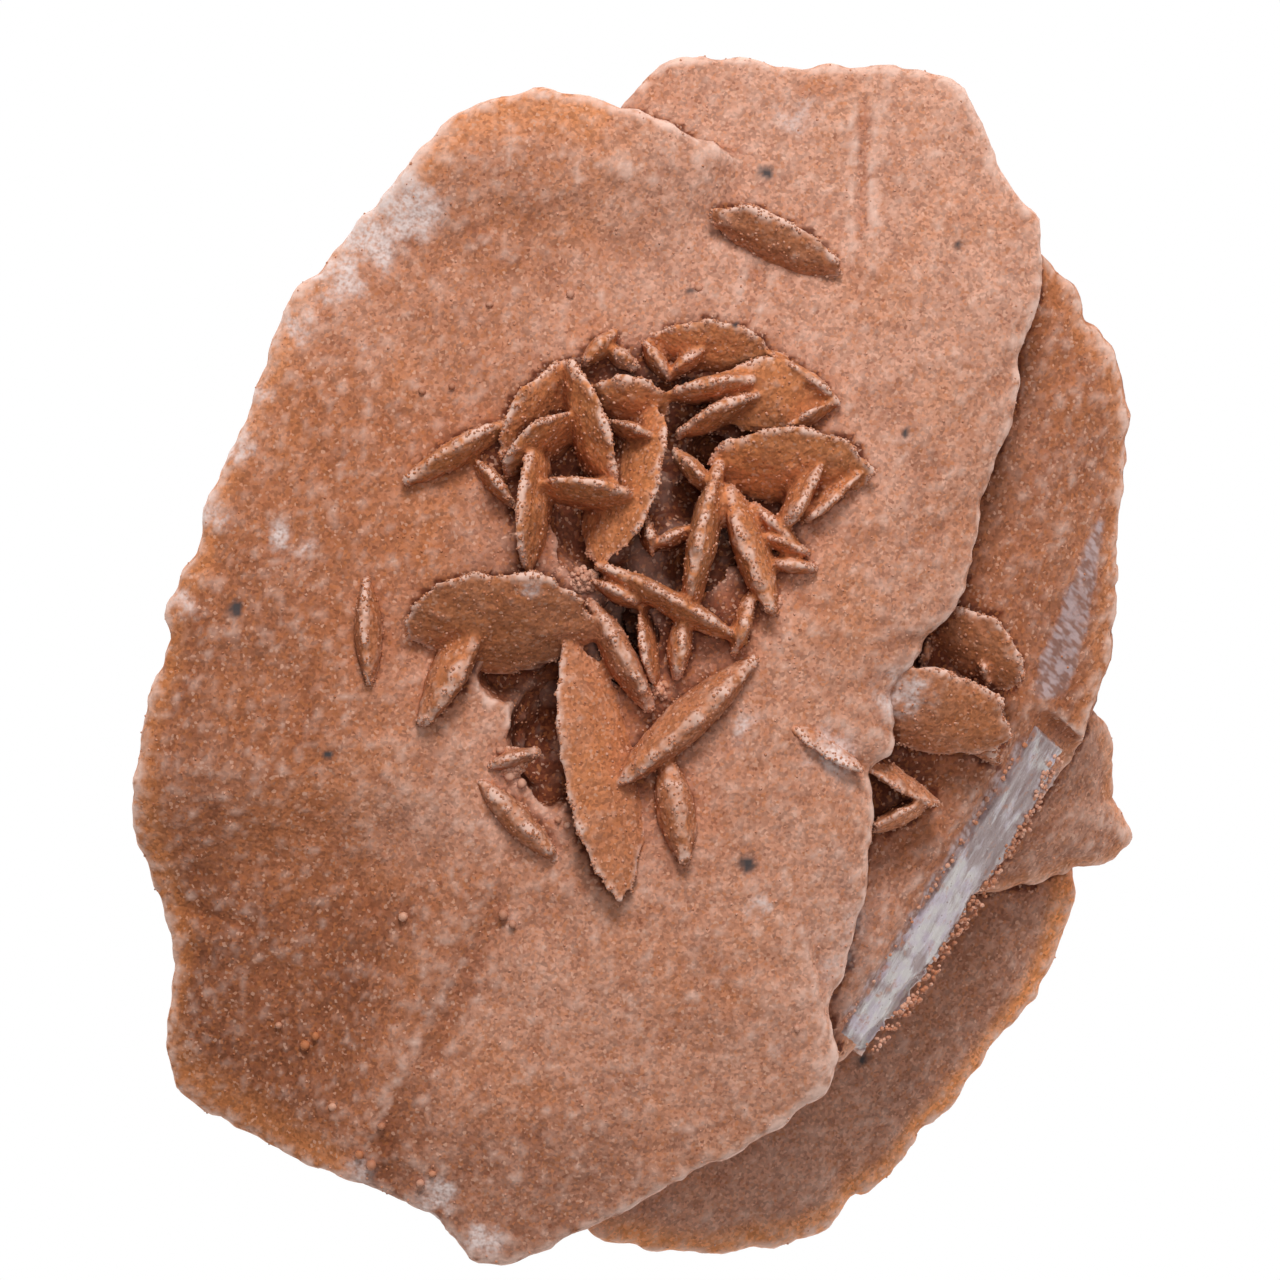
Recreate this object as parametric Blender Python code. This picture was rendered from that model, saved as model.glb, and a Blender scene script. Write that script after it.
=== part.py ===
"""Gypsum sand rose, lying on its lower blades with its two largest plates face up.

It is one intergrown mass, so it is one solid: lens-shaped gypsum plates and
blades that cross each other, fused where they meet, and hollowed between them.
All sizes below are millimetres; the model is written in metres.
The origin is on the surface that the rose lies on, below the middle of its box.
"""
import math
import random

import bmesh
import bpy
import numpy as np
from mathutils import Matrix, Vector, noise

MM = 0.001
NODE = "gypsum_sand_rose"

# Driving dimensions
CROWN = 36.0            # height of the two main plates where they meet
CROWN_X = -2.0          # where the dome of the main plates is highest
CROWN_Y = 5.0
DOME_ACROSS = 0.0020    # fall of that dome, per square millimetre from its top
DOME_ALONG = 0.0016
CREASE_X = -4.4         # the valley between the main plates crosses y = 0 here
CREASE_LEAN = 0.40      # and moves this far in x for each millimetre of y
LEFT_RISE = 0.105       # slope of each main plate, up and away from the valley
RIGHT_RISE = 0.085
PILLOW_EDGE = -8.0      # below this y the left plate drops from its pillow
PILLOW_DROP = 2.0
PILLOW_FALL = 0.11
RIM_START = 30.0        # beyond this y the left plate lifts off the right one
RIM_LIFT = 2.4
EYE = (0.2, 1.5)        # the outlines are drawn as seen from high above this place

# Outlines go round counter-clockwise, as seen from above, in millimetres
LEFT_OUTLINE = [
    (9.6, 36.0), (7.7, 37.1), (4.7, 38.6), (1.0, 40.5), (-2.0, 41.6), (-7.3, 42.2), (-12.5, 41.1),
    (-14.8, 39.0), (-17.8, 35.3), (-21.5, 31.5), (-25.3, 27.0), (-27.5, 21.8), (-29.8, 16.5),
    (-32.8, 7.5), (-35.0, 3.8), (-35.4, -0.8), (-37.3, -6.0), (-36.5, -15.0), (-34.9, -20.3),
    (-34.7, -23.3), (-35.6, -29.3), (-34.3, -32.3), (-29.8, -34.9), (-25.3, -37.5), (-19.3, -39.8),
    (-14.0, -41.5), (-8.0, -36.0), (-1.0, -22.0), (5.0, -6.0), (10.0, 10.0), (12.5, 24.0), (11.5, 32.0),
]
RIGHT_OUTLINE = [
    (30.1, 27.0), (30.2, 31.1), (29.1, 34.5), (27.2, 36.8), (26.1, 39.8), (24.2, 42.9), (21.6, 44.1),
    (16.0, 44.4), (12.2, 44.6), (7.7, 45.4), (3.2, 44.8), (0.2, 42.8), (-4.0, 36.0), (-8.0, 24.0),
    (-13.0, 6.0), (-18.0, -10.0), (-21.0, -24.0), (-22.5, -35.0), (-20.5, -39.6), (-15.5, -42.0),
    (-12.5, -44.6), (-10.3, -45.4), (-7.3, -44.6), (-3.5, -42.8), (-0.9, -41.2), (4.0, -38.3),
    (10.7, -34.9), (13.4, -31.9), (14.7, -29.3), (14.3, -26.3), (16.0, -19.5), (17.1, -13.1),
    (16.9, -8.3), (19.4, -4.5), (19.2, -2.3), (21.6, 1.5), (24.6, 6.4), (25.4, 12.0), (28.7, 23.3),
]
SHELF_OUTLINE = [
    (36.2, 13.5), (36.5, 18.6), (35.7, 22.1), (33.1, 25.1), (32.5, 27.9), (30.6, 29.4), (25.0, 32.0),
    (15.0, 27.0), (8.0, 12.0), (6.0, -8.0), (9.0, -24.0), (15.0, -30.3), (18.0, -27.0), (20.0, -24.0),
    (23.2, -20.5), (25.0, -17.0), (27.3, -15.0), (29.5, -11.5), (32.0, -8.0), (33.8, -4.0),
    (34.3, -2.5), (35.1, 0.0), (34.8, 2.0), (35.6, 7.5),
]
SPUR_OUTLINE = [
    (33.8, -4.0), (26.0, -2.0), (20.0, -8.0), (22.0, -16.0), (29.0, -16.5), (32.7, -15.2),
    (36.0, -15.0), (37.4, -13.5), (36.5, -12.0), (35.3, -10.2), (35.6, -8.5), (34.6, -5.0),
]
FOOT_OUTLINE = [
    (32.5, -15.8), (29.0, -6.0), (15.0, 0.0), (0.0, -8.0), (-7.0, -25.0), (-6.0, -38.0),
    (-2.8, -42.9), (0.2, -43.5), (2.5, -44.4), (4.7, -44.6), (8.5, -43.7), (11.5, -43.5),
    (14.5, -42.2), (16.0, -40.1), (18.2, -39.4), (21.2, -35.3), (24.2, -32.3), (27.2, -28.5),
    (29.5, -25.5), (31.7, -21.0),
]

# The plates that show from above: centre, outline, its growth about the eye's place because it
# lies deeper, level and slope of the top face at the centre, thickness in the middle and at the
# rim, sides and rings of the mesh.
# The two main plates have no level: their top follows the dome and the valley.
PLATES = {
    "left": dict(centre=(-14.0, -2.0), outline=LEFT_OUTLINE, grow=1.0, rise=LEFT_RISE, side=1,
                 thick=(7.0, 1.5), mesh=(48, 6)),
    "right": dict(centre=(7.0, 0.0), outline=RIGHT_OUTLINE, grow=1.0, rise=RIGHT_RISE, side=-1,
                  thick=(7.0, 1.5), mesh=(48, 6)),
    "shelf": dict(centre=(20.0, 0.0), outline=SHELF_OUTLINE, grow=1.016, level=29.0, slope=(-0.36, 0.10),
                  thick=(7.4, 3.6), mesh=(40, 6)),
    "spur": dict(centre=(29.0, -10.0), outline=SPUR_OUTLINE, grow=1.028, level=19.5, slope=(-0.75, 0.45),
                 thick=(6.5, 1.8), mesh=(22, 4)),
    "foot": dict(centre=(12.0, -22.0), outline=FOOT_OUTLINE, grow=1.036, level=15.0, slope=(-0.30, 0.16),
                 thick=(6.5, 1.6), mesh=(34, 4)),
}

# The blades of the underside, which cross in the middle: centre, compass bearing that the upper
# face looks to, tilt from the level, half length, half height and thickness
UNDERSIDE = [
    ((-15.0, 7.0, 16.5), 176.0, 52.0, 26.0, 22.6, 8.0),
    ((13.0, 8.0, 16.5), 8.0, 56.0, 26.0, 21.6, 8.0),
    ((-1.0, -16.0, 16.0), 262.0, 50.0, 26.0, 22.6, 8.0),
    ((2.0, 21.0, 17.0), 96.0, 54.0, 25.0, 22.6, 8.0),
    ((-15.0, -17.0, 15.5), 222.0, 68.0, 22.0, 17.8, 7.0),
    ((16.0, -12.0, 13.5), 318.0, 64.0, 21.0, 15.8, 7.0),
    ((-4.0, 0.0, 16.0), 120.0, 14.0, 31.0, 25.0, 7.0),
    ((3.0, 5.0, 12.0), 300.0, 84.0, 25.0, 12.2, 7.0),
    ((-5.0, 3.0, 12.5), 205.0, 76.0, 20.0, 12.0, 7.0),
    ((1.0, -5.0, 12.0), 70.0, 72.0, 18.0, 12.0, 7.0),
]
CORE = ((0.0, -1.0, 16.0), (19.0, 26.0, 13.0))

# Small blades: both ends of the rim in plan, how far its crest bows to the left of the way from
# the first to the second, the crest's rise over the plate, thickness, lift of the middle, and,
# for some, how much lower the second end is than the first
CLUSTER = [
    ((-17.4, 13.1), (-9.0, 17.9), 0.6, 2.6, 1.9, 0.3),
    ((-12.2, 15.0), (-9.2, 11.4), 0.3, 2.2, 1.4, 0.0),
    ((-9.8, 14.6), (-4.9, 22.0), 2.0, 3.6, 1.3, 0.6),
    ((-9.9, 13.8), (-4.2, 18.2), 1.5, 4.2, 1.3, 0.8),
    ((-5.5, 22.4), (-1.9, 12.2), 1.4, 5.0, 1.6, 2.0),
    ((-7.8, 13.0), (0.4, 11.8), 0.9, 5.0, 1.9, 1.8),
    ((-7.2, 16.4), (-8.0, 6.6), -1.2, 4.4, 1.6, 1.2),
    ((1.3, 19.6), (-3.2, 7.0), 2.6, 4.2, 1.4, 1.0),
    ((-2.4, 17.6), (1.6, 16.2), 0.5, 4.0, 1.3, 1.0),
    ((-4.2, 21.8), (-1.4, 24.6), 0.2, 2.6, 1.5, 0.6),
    ((-2.2, 23.4), (-0.1, 21.6), 0.2, 2.6, 1.4, 0.6),
    ((-3.8, 19.6), (2.6, 18.8), 1.8, 3.0, 1.3, 0.9),
    ((0.4, 23.8), (2.5, 20.6), 0.2, 2.8, 1.4, 0.4),
    ((0.8, 23.6), (11.2, 21.8), 2.4, 3.2, 1.5, 0.5),
    ((2.2, 21.0), (5.5, 23.4), 0.3, 2.8, 1.3, 0.5),
    ((2.0, 19.6), (9.4, 20.7), 0.6, 4.4, 1.8, 1.4),
    ((2.8, 16.6), (9.6, 19.8), 0.6, 4.2, 1.7, 1.0),
    ((5.4, 19.8), (13.8, 19.4), 3.0, 2.4, 1.4, 1.3),
    ((9.2, 22.9), (15.1, 18.8), 0.6, 2.8, 1.4, 0.3),
    ((14.8, 19.2), (11.0, 17.1), -0.3, 2.6, 1.2, 0.3),
    ((5.4, 15.0), (17.4, 13.8), 2.9, 3.9, 1.5, 1.2),
    ((13.8, 15.2), (10.3, 9.2), 0.4, 3.8, 1.8, 0.8),
    ((17.0, 14.6), (12.1, 10.2), 0.4, 2.4, 1.4, 0.3),
    ((8.4, 11.6), (12.2, 8.2), 0.1, 2.6, 1.3, 0.5),
    ((8.8, 9.5), (12.9, 7.9), 0.1, 2.4, 1.3, 0.4),
    ((9.6, 7.3), (13.4, 6.8), 0.1, 2.0, 1.3, 0.2),
    ((6.6, 13.4), (10.2, 3.4), -0.4, 3.8, 2.7, 0.6),
    ((6.1, 14.8), (3.7, 3.1), -0.3, 5.2, 2.3, 1.4),
    ((2.7, 15.6), (5.9, 12.2), 0.2, 3.6, 1.5, 0.8),
    ((-3.1, 7.1), (7.8, 1.4), 0.5, 4.2, 1.9, 1.1),
    ((-3.4, 5.9), (0.4, 4.0), 0.2, 3.4, 1.4, 0.4),
    ((0.3, 4.2), (1.5, -2.2), -0.5, 3.0, 1.4, 0.0),
    ((3.3, 3.6), (2.9, -1.4), 0.2, 2.8, 1.8, 0.2),
    ((8.5, 5.2), (7.1, 0.4), 0.2, 2.6, 1.6, 0.0),
    ((0.9, 8.2), (4.4, 9.9), 0.3, 3.4, 1.4, -0.4),
    ((0.5, 10.8), (1.1, 7.6), 0.2, 3.4, 1.3, -0.4),
    ((5.4, 33.4), (15.4, 28.9), 1.7, 2.8, 1.6, 1.1),
    ((-17.6, 2.8), (-2.8, 2.8), 3.7, 5.3, 1.6, 1.9),
    ((-3.7, 4.5), (1.0, -3.7), 0.4, 3.6, 2.4, 0.8),
    ((-20.1, 6.1), (-19.9, -1.9), -0.3, 2.2, 2.0, 0.1),
    ((-11.3, 4.0), (-16.2, -5.0), 0.7, 2.7, 2.8, 0.4),
    ((-4.7, 1.9), (-0.9, -17.8), -2.8, 2.9, 1.7, 1.2),
    ((8.8, 0.2), (-1.4, -9.0), 0.4, 3.2, 3.1, 0.6),
    ((2.2, -6.8), (3.5, -15.2), 0.3, 2.4, 2.9, 0.1),
    ((-12.1, -8.7), (-5.8, -15.1), 0.2, 2.0, 2.2, 0.1),
    ((-11.2, -8.0), (-7.4, -6.8), 0.2, 1.6, 1.5, -0.2),
]
SIDE_GROUP = [
    ((21.6, 3.6), (28.8, -1.8), 2.6, 4.2, 1.5, 1.7),
    ((25.6, 0.8), (26.6, -2.0), 0.0, 3.4, 1.5, 0.8),
    ((21.9, 2.0), (21.3, -1.0), 0.1, 3.0, 1.3, -0.8),
    ((16.2, -2.2), (28.2, -5.6), 3.2, 6.2, 1.8, 4.0, 3.0),
    ((22.9, -4.2), (27.4, -7.8), 0.4, 3.4, 1.6, 0.8),
    ((11.2, -4.6), (16.8, -8.2), -0.6, 1.1, 1.1, 0.1),
    ((13.0, -4.8), (22.8, -10.9), -0.7, 5.2, 1.4, 3.0, 5.0),
    ((17.0, -13.2), (22.3, -10.4), 0.3, 4.6, 1.5, 1.0),
]
BLADE_MESH = (10, 4)    # sides and rings
SHORT_MESH = (8, 2)
SHORT_LENGTH = 8.8      # a blade shorter than this has the plainer mesh
UNDERSIDE_MESH = (14, 4)
HOLLOW_SEGMENTS = 8
CORE_SEGMENTS = 10
BLADE_POINT = 1.75      # under 2, a blade's outline has pointed ends

# Hollows between the small blades: centre in plan, depth under the plate, half length and width
HOLLOWS = [
    ((2.0, 12.5), 0.3, (9.6, 8.8, 2.3)),
    ((5.4, 15.6), 1.5, (1.7, 1.3, 4.2)),
    ((3.6, 11.4), 1.5, (1.3, 2.4, 4.2)),
    ((-0.9, 1.8), 1.0, (2.3, 3.7, 5.4)),
    ((-6.3, -5.4), 0.4, (3.2, 5.6, 4.8)),
]
# The cleaved edge of the shelf: its upper line, from end to end, and its steepness
CLEAVAGE = ((29.8, -6.0, 23.4), (15.6, -28.0, 26.2))
CLEAVAGE_STEEP = 50.0
CLEAVAGE_DEPTH = 12.0
CLEAVAGE_LENGTH = 31.0
FLOOR_BLOCK = 120.0


def smooth(t):
    """Nought below 0, one above 1, and a smooth step between."""
    t = min(1.0, max(0.0, t))
    return t * t * (3.0 - 2.0 * t)


def from_valley(x, y):
    """Distance to the left of the valley between the main plates."""
    return (CREASE_X + CREASE_LEAN * y - x) / math.hypot(1.0, CREASE_LEAN)


def main_top(plate, x, y):
    """Height of a main plate's top face, before it thins to its rim."""
    s = from_valley(x, y) * plate["side"]
    dome = CROWN - DOME_ACROSS * (x - CROWN_X) ** 2 - DOME_ALONG * (y - CROWN_Y) ** 2
    z = dome + plate["rise"] * s
    if plate["side"] > 0:
        z -= PILLOW_DROP * smooth((PILLOW_EDGE - y) / 9.0) * smooth(s / 10.0)
        z -= PILLOW_FALL * max(0.0, PILLOW_EDGE - y) * smooth(s / 15.0)
        z += RIM_LIFT * smooth((y - RIM_START) / 8.0) * smooth(s / 6.0)
    return z


def rim_reach(plate, angle):
    """Distance from a plate's centre to its rim at an angle, straight between its points."""
    eye = np.array(EYE)
    points = eye + plate["grow"] * (np.array(plate["outline"]) - eye) - plate["centre"]
    turns = np.arctan2(points[:, 1], points[:, 0])
    return float(np.interp(angle, turns, np.hypot(points[:, 0], points[:, 1]), period=math.tau))


def top_face(plate, x, y, rho):
    """Height of a plate's top face, rho of the way from its centre to its rim."""
    cx, cy = plate["centre"]
    thin = 0.42 * (plate["thick"][0] - plate["thick"][1])
    if "level" in plate:
        gx, gy = plate["slope"]
        z = plate["level"] + gx * (x - cx) + gy * (y - cy)
    else:
        z = main_top(plate, x, y)
    return z - thin * rho ** 4


def ground(x, y):
    """Height of the highest plate under a point."""
    heights = []
    for plate in PLATES.values():
        cx, cy = plate["centre"]
        reach = rim_reach(plate, math.atan2(y - cy, x - cx))
        rho = math.hypot(x - cx, y - cy) / reach
        if rho <= 1.0:
            heights.append(top_face(plate, x, y, rho))
    return max(heights)


def keep(bm, name, collection):
    """Make an object of a finished bmesh, whose sizes are millimetres, and put it away."""
    bmesh.ops.triangulate(bm, faces=bm.faces)
    bmesh.ops.scale(bm, vec=(MM, MM, MM), verts=bm.verts)
    mesh = bpy.data.meshes.new(name)
    bm.to_mesh(mesh)
    bm.free()
    obj = bpy.data.objects.new(name, mesh)
    collection.objects.link(obj)
    obj.hide_render = True
    obj.display_type = "WIRE"
    return obj


def make_plate(name, plate, collection):
    """A broad plate: a sphere drawn out to the plate's outline and pressed between its two faces."""
    bm = bmesh.new()
    sides, rings = plate["mesh"]
    bmesh.ops.create_uvsphere(bm, u_segments=sides, v_segments=rings, radius=1.0)
    cx, cy = plate["centre"]
    middle, rim = plate["thick"]
    for v in bm.verts:
        rho = min(1.0, math.hypot(v.co.x, v.co.y))
        angle = math.atan2(v.co.y, v.co.x)
        reach = rim_reach(plate, angle) * rho
        x = cx + reach * math.cos(angle)
        y = cy + reach * math.sin(angle)
        top = top_face(plate, x, y, rho)
        thick = rim + (middle - rim) * (1.0 - rho * rho)
        if rho > 0.999:
            z = top - 0.5 * rim
        elif v.co.z > 0.0:
            z = top
        else:
            z = top - thick
        v.co = (x, y, z)
    return keep(bm, name, collection)


def blade_mesh(half_length, half_height, thick, fineness, wander, rng):
    """A lens lying level: half_length along X, half_height along Y, with pointed ends."""
    bm = bmesh.new()
    sides, rings = fineness
    bmesh.ops.create_uvsphere(bm, u_segments=sides, v_segments=rings, radius=1.0)
    start = Vector((rng.uniform(0, 90), rng.uniform(0, 90), 0.0))
    for v in bm.verts:
        rho = min(1.0, math.hypot(v.co.x, v.co.y))
        angle = math.atan2(v.co.y, v.co.x)
        c, s = math.cos(angle), math.sin(angle)
        spread = (abs(c) ** BLADE_POINT + abs(s) ** BLADE_POINT) ** (-1.0 / BLADE_POINT)
        spread *= 1.0 + wander * noise.noise(start + Vector((2.2 * c, 2.2 * s, 0.0)))
        height = math.copysign(0.5 * thick * (0.2 + 0.8 * (1.0 - rho * rho)), v.co.z)
        if rho > 0.999:
            height = 0.0
        v.co = (half_length * rho * spread * c, half_height * rho * spread * s, height)
    return bm


def make_blade(name, number, blade, collection):
    """A small blade that stands out of the plate under it, or leans over it."""
    (x0, y0), (x1, y1), bow, rise, thick, lift, *dip = blade
    rng = random.Random(100 + number)
    along = Vector((x1 - x0, y1 - y0, -sum(dip)))
    half_length = 0.5 * along.length
    along.normalize()
    left = Vector((-along.y, along.x, 0.0)).normalized()
    up = left * bow + Vector((0.0, 0.0, rise - lift))
    up -= along * up.dot(along)
    half_height = up.length
    up.normalize()
    x, y = 0.5 * (x0 + x1), 0.5 * (y0 + y1)
    fineness = SHORT_MESH if 2.0 * half_length < SHORT_LENGTH else BLADE_MESH
    bm = blade_mesh(half_length, half_height, thick, fineness, 0.12, rng)
    turn = Matrix((along, up, along.cross(up))).transposed().to_4x4()
    place = Matrix.Translation((x, y, ground(x, y) + lift)) @ turn
    bmesh.ops.transform(bm, matrix=place, verts=bm.verts)
    return keep(bm, name, collection)


def make_underside(name, number, blade, collection):
    """A large blade of the underside, tilted outwards."""
    centre, bearing, tilt, half_length, half_height, thick = blade
    rng = random.Random(10 + number)
    bm = blade_mesh(half_length, half_height, thick, UNDERSIDE_MESH, 0.16, rng)
    turn = Matrix.Rotation(math.radians(bearing + 90.0), 4, "Z")
    lean = Matrix.Rotation(math.radians(tilt), 4, "X")
    place = Matrix.Translation(centre) @ turn @ lean
    bmesh.ops.transform(bm, matrix=place, verts=bm.verts)
    return keep(bm, name, collection)


def make_lump(name, centre, radii, segments, collection):
    """A rounded lump or hollow with a slightly uneven face."""
    bm = bmesh.new()
    bmesh.ops.create_uvsphere(bm, u_segments=segments, v_segments=segments // 2, radius=1.0)
    for v in bm.verts:
        swell = 1.0 + 0.10 * noise.noise(v.co * 2.5 + Vector(centre))
        v.co = [centre[i] + radii[i] * swell * v.co[i] for i in range(3)]
    return keep(bm, name, collection)


def make_block(name, size, place, collection):
    """A block, whose top face is centred on the place's origin."""
    bm = bmesh.new()
    bmesh.ops.create_cube(bm, size=1.0)
    bmesh.ops.scale(bm, vec=size, verts=bm.verts)
    bmesh.ops.translate(bm, vec=(0.0, 0.0, -0.5 * size[2]), verts=bm.verts)
    bmesh.ops.transform(bm, matrix=place, verts=bm.verts)
    return keep(bm, name, collection)


def cleavage_cutter(collection):
    """A block whose lower face lies along the clean broken edge of the shelf."""
    start, end = Vector(CLEAVAGE[0]), Vector(CLEAVAGE[1])
    along = (end - start).normalized()
    outward = Vector((-along.y, along.x, 0.0)).normalized()
    steep = math.radians(CLEAVAGE_STEEP)
    down = outward * math.cos(steep) - Vector((0.0, 0.0, math.sin(steep)))
    normal = along.cross(down).normalized()
    turn = Matrix((along, normal.cross(along), normal)).transposed().to_4x4()
    size = (CLEAVAGE_LENGTH, 3.0 * CLEAVAGE_DEPTH, CLEAVAGE_DEPTH)
    face_down = Matrix.Rotation(math.pi, 4, "X")
    place = Matrix.Translation(0.5 * (start + end)) @ turn @ face_down
    return make_block("cleavage", size, place, collection)


def fuse(obj, operation, collection):
    """Join a collection's solids to the object, or cut them from it."""
    boolean = obj.modifiers.new(collection.name, "BOOLEAN")
    boolean.operation = operation
    boolean.operand_type = "COLLECTION"
    boolean.collection = collection
    boolean.solver = "EXACT"


def sand_crust():
    """Brown sandy gypsum, dull, with a trace of light passing through its rims."""
    material = bpy.data.materials.new("sand_crust")
    material.use_nodes = True
    shader = material.node_tree.nodes["Principled BSDF"]
    shader.inputs["Base Color"].default_value = (0.43, 0.20, 0.13, 1.0)
    shader.inputs["Roughness"].default_value = 0.85
    shader.inputs["Metallic"].default_value = 0.0
    return material


def new_collection(name):
    """A collection linked to the scene."""
    collection = bpy.data.collections.new(name)
    bpy.context.scene.collection.children.link(collection)
    return collection


def main():
    for obj in list(bpy.data.objects):
        bpy.data.objects.remove(obj)
    rose = new_collection("sand_rose")
    plates = new_collection("plates")
    hollows = new_collection("hollows")
    blades = new_collection("blades")
    breaks = new_collection("breaks")

    body = None
    for name, plate in PLATES.items():
        obj = make_plate(name, plate, rose if name == "left" else plates)
        body = body or obj
        if name == "shelf":
            cleavage_cutter(breaks)
            fuse(obj, "DIFFERENCE", breaks)
    for number, blade in enumerate(UNDERSIDE):
        make_underside(f"underside_{number}", number, blade, plates)
    make_lump("core", *CORE, CORE_SEGMENTS, plates)

    for number, (spot, depth, radii) in enumerate(HOLLOWS):
        make_lump(f"hollow_{number}", (*spot, ground(*spot) - depth), radii, HOLLOW_SEGMENTS, hollows)
    make_block("floor", (FLOOR_BLOCK, FLOOR_BLOCK, 20.0), Matrix(), hollows)

    for number, blade in enumerate(CLUSTER + SIDE_GROUP):
        make_blade(f"blade_{number}", number, blade, blades)

    body.name = NODE
    body.data.name = NODE
    body.hide_render = False
    body.display_type = "TEXTURED"
    body.data.materials.append(sand_crust())
    fuse(body, "UNION", plates)
    fuse(body, "DIFFERENCE", hollows)
    fuse(body, "UNION", blades)


main()
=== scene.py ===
"""The looks of the gypsum sand rose: its sandy plates and blades, grains, cleaved edge, light and camera.

The shapes repeat those of the solid, with finer outlines, rough faces and worn rims.
Sizes are millimetres in the solid's frame, and MM turns them into metres.
"""
import math
import random

import bmesh
import bpy
import numpy as np
from mathutils import Matrix, Vector, noise
from mathutils.bvhtree import BVHTree


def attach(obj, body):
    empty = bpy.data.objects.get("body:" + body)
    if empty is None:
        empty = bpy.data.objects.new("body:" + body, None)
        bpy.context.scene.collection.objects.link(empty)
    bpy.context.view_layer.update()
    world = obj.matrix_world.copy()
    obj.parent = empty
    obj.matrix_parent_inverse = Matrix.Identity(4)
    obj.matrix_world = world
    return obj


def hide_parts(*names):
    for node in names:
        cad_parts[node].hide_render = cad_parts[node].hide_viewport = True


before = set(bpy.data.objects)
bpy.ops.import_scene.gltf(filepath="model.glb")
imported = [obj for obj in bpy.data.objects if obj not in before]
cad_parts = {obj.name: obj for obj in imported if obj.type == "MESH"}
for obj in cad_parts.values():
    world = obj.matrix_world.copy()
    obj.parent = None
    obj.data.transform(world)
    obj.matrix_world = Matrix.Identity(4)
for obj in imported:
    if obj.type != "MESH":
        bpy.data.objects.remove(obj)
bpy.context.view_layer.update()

MM = 0.001
TAU = math.tau
NODE = "gypsum_sand_rose"
BODY = "root"

# The dome of the main plates and the valley between them, as in the solid
CROWN = 36.0
CROWN_X = -2.0
CROWN_Y = 5.0
DOME_ACROSS = 0.0020
DOME_ALONG = 0.0016
CREASE_X = -4.4
CREASE_LEAN = 0.40
LEFT_RISE = 0.105
RIGHT_RISE = 0.085
PILLOW_EDGE = -8.0
PILLOW_DROP = 2.0
PILLOW_FALL = 0.11
RIM_START = 30.0
RIM_LIFT = 2.4

# The camera looks straight down at this point in plan, and lower plates are outlined as it sees them
EYE = (0.2, 1.5)
CAMERA_HEIGHT = 0.636
LENS = 226.5

LEFT_OUTLINE = [
    (9.6, 36.0), (7.7, 37.1), (4.7, 38.6), (1.0, 40.5), (-2.0, 41.6), (-7.3, 42.2), (-12.5, 41.1),
    (-14.8, 39.0), (-17.8, 35.3), (-21.5, 31.5), (-25.3, 27.0), (-27.5, 21.8), (-29.8, 16.5),
    (-32.8, 7.5), (-35.0, 3.8), (-35.4, -0.8), (-37.3, -6.0), (-36.5, -15.0), (-34.9, -20.3),
    (-34.7, -23.3), (-35.6, -29.3), (-34.3, -32.3), (-29.8, -34.9), (-25.3, -37.5), (-19.3, -39.8),
    (-14.0, -41.5), (-8.0, -36.0), (-1.0, -22.0), (5.0, -6.0), (10.0, 10.0), (12.5, 24.0), (11.5, 32.0),
]
RIGHT_OUTLINE = [
    (30.1, 27.0), (30.2, 31.1), (29.1, 34.5), (27.2, 36.8), (26.1, 39.8), (24.2, 42.9), (21.6, 44.1),
    (16.0, 44.4), (12.2, 44.6), (7.7, 45.4), (3.2, 44.8), (0.2, 42.8), (-4.0, 36.0), (-8.0, 24.0),
    (-13.0, 6.0), (-18.0, -10.0), (-21.0, -24.0), (-22.5, -35.0), (-20.5, -39.6), (-15.5, -42.0),
    (-12.5, -44.6), (-10.3, -45.4), (-7.3, -44.6), (-3.5, -42.8), (-0.9, -41.2), (4.0, -38.3),
    (10.7, -34.9), (13.4, -31.9), (14.7, -29.3), (14.3, -26.3), (16.0, -19.5), (17.1, -13.1),
    (16.9, -8.3), (19.4, -4.5), (19.2, -2.3), (21.6, 1.5), (24.6, 6.4), (25.4, 12.0), (28.7, 23.3),
]
SHELF_OUTLINE = [
    (36.2, 13.5), (36.5, 18.6), (35.7, 22.1), (33.1, 25.1), (32.5, 27.9), (30.6, 29.4), (25.0, 32.0),
    (15.0, 27.0), (8.0, 12.0), (6.0, -8.0), (9.0, -24.0), (15.0, -30.3), (18.0, -27.0), (20.0, -24.0),
    (23.2, -20.5), (25.0, -17.0), (27.3, -15.0), (29.5, -11.5), (32.0, -8.0), (33.8, -4.0),
    (34.3, -2.5), (35.1, 0.0), (34.8, 2.0), (35.6, 7.5),
]
SPUR_OUTLINE = [
    (33.8, -4.0), (26.0, -2.0), (20.0, -8.0), (22.0, -16.0), (29.0, -16.5), (32.7, -15.2),
    (36.0, -15.0), (37.4, -13.5), (36.5, -12.0), (35.3, -10.2), (35.6, -8.5), (34.6, -5.0),
]
FOOT_OUTLINE = [
    (32.5, -15.8), (29.0, -6.0), (15.0, 0.0), (0.0, -8.0), (-7.0, -25.0), (-6.0, -38.0),
    (-2.8, -42.9), (0.2, -43.5), (2.5, -44.4), (4.7, -44.6), (8.5, -43.7), (11.5, -43.5),
    (14.5, -42.2), (16.0, -40.1), (18.2, -39.4), (21.2, -35.3), (24.2, -32.3), (27.2, -28.5),
    (29.5, -25.5), (31.7, -21.0),
]
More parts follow.
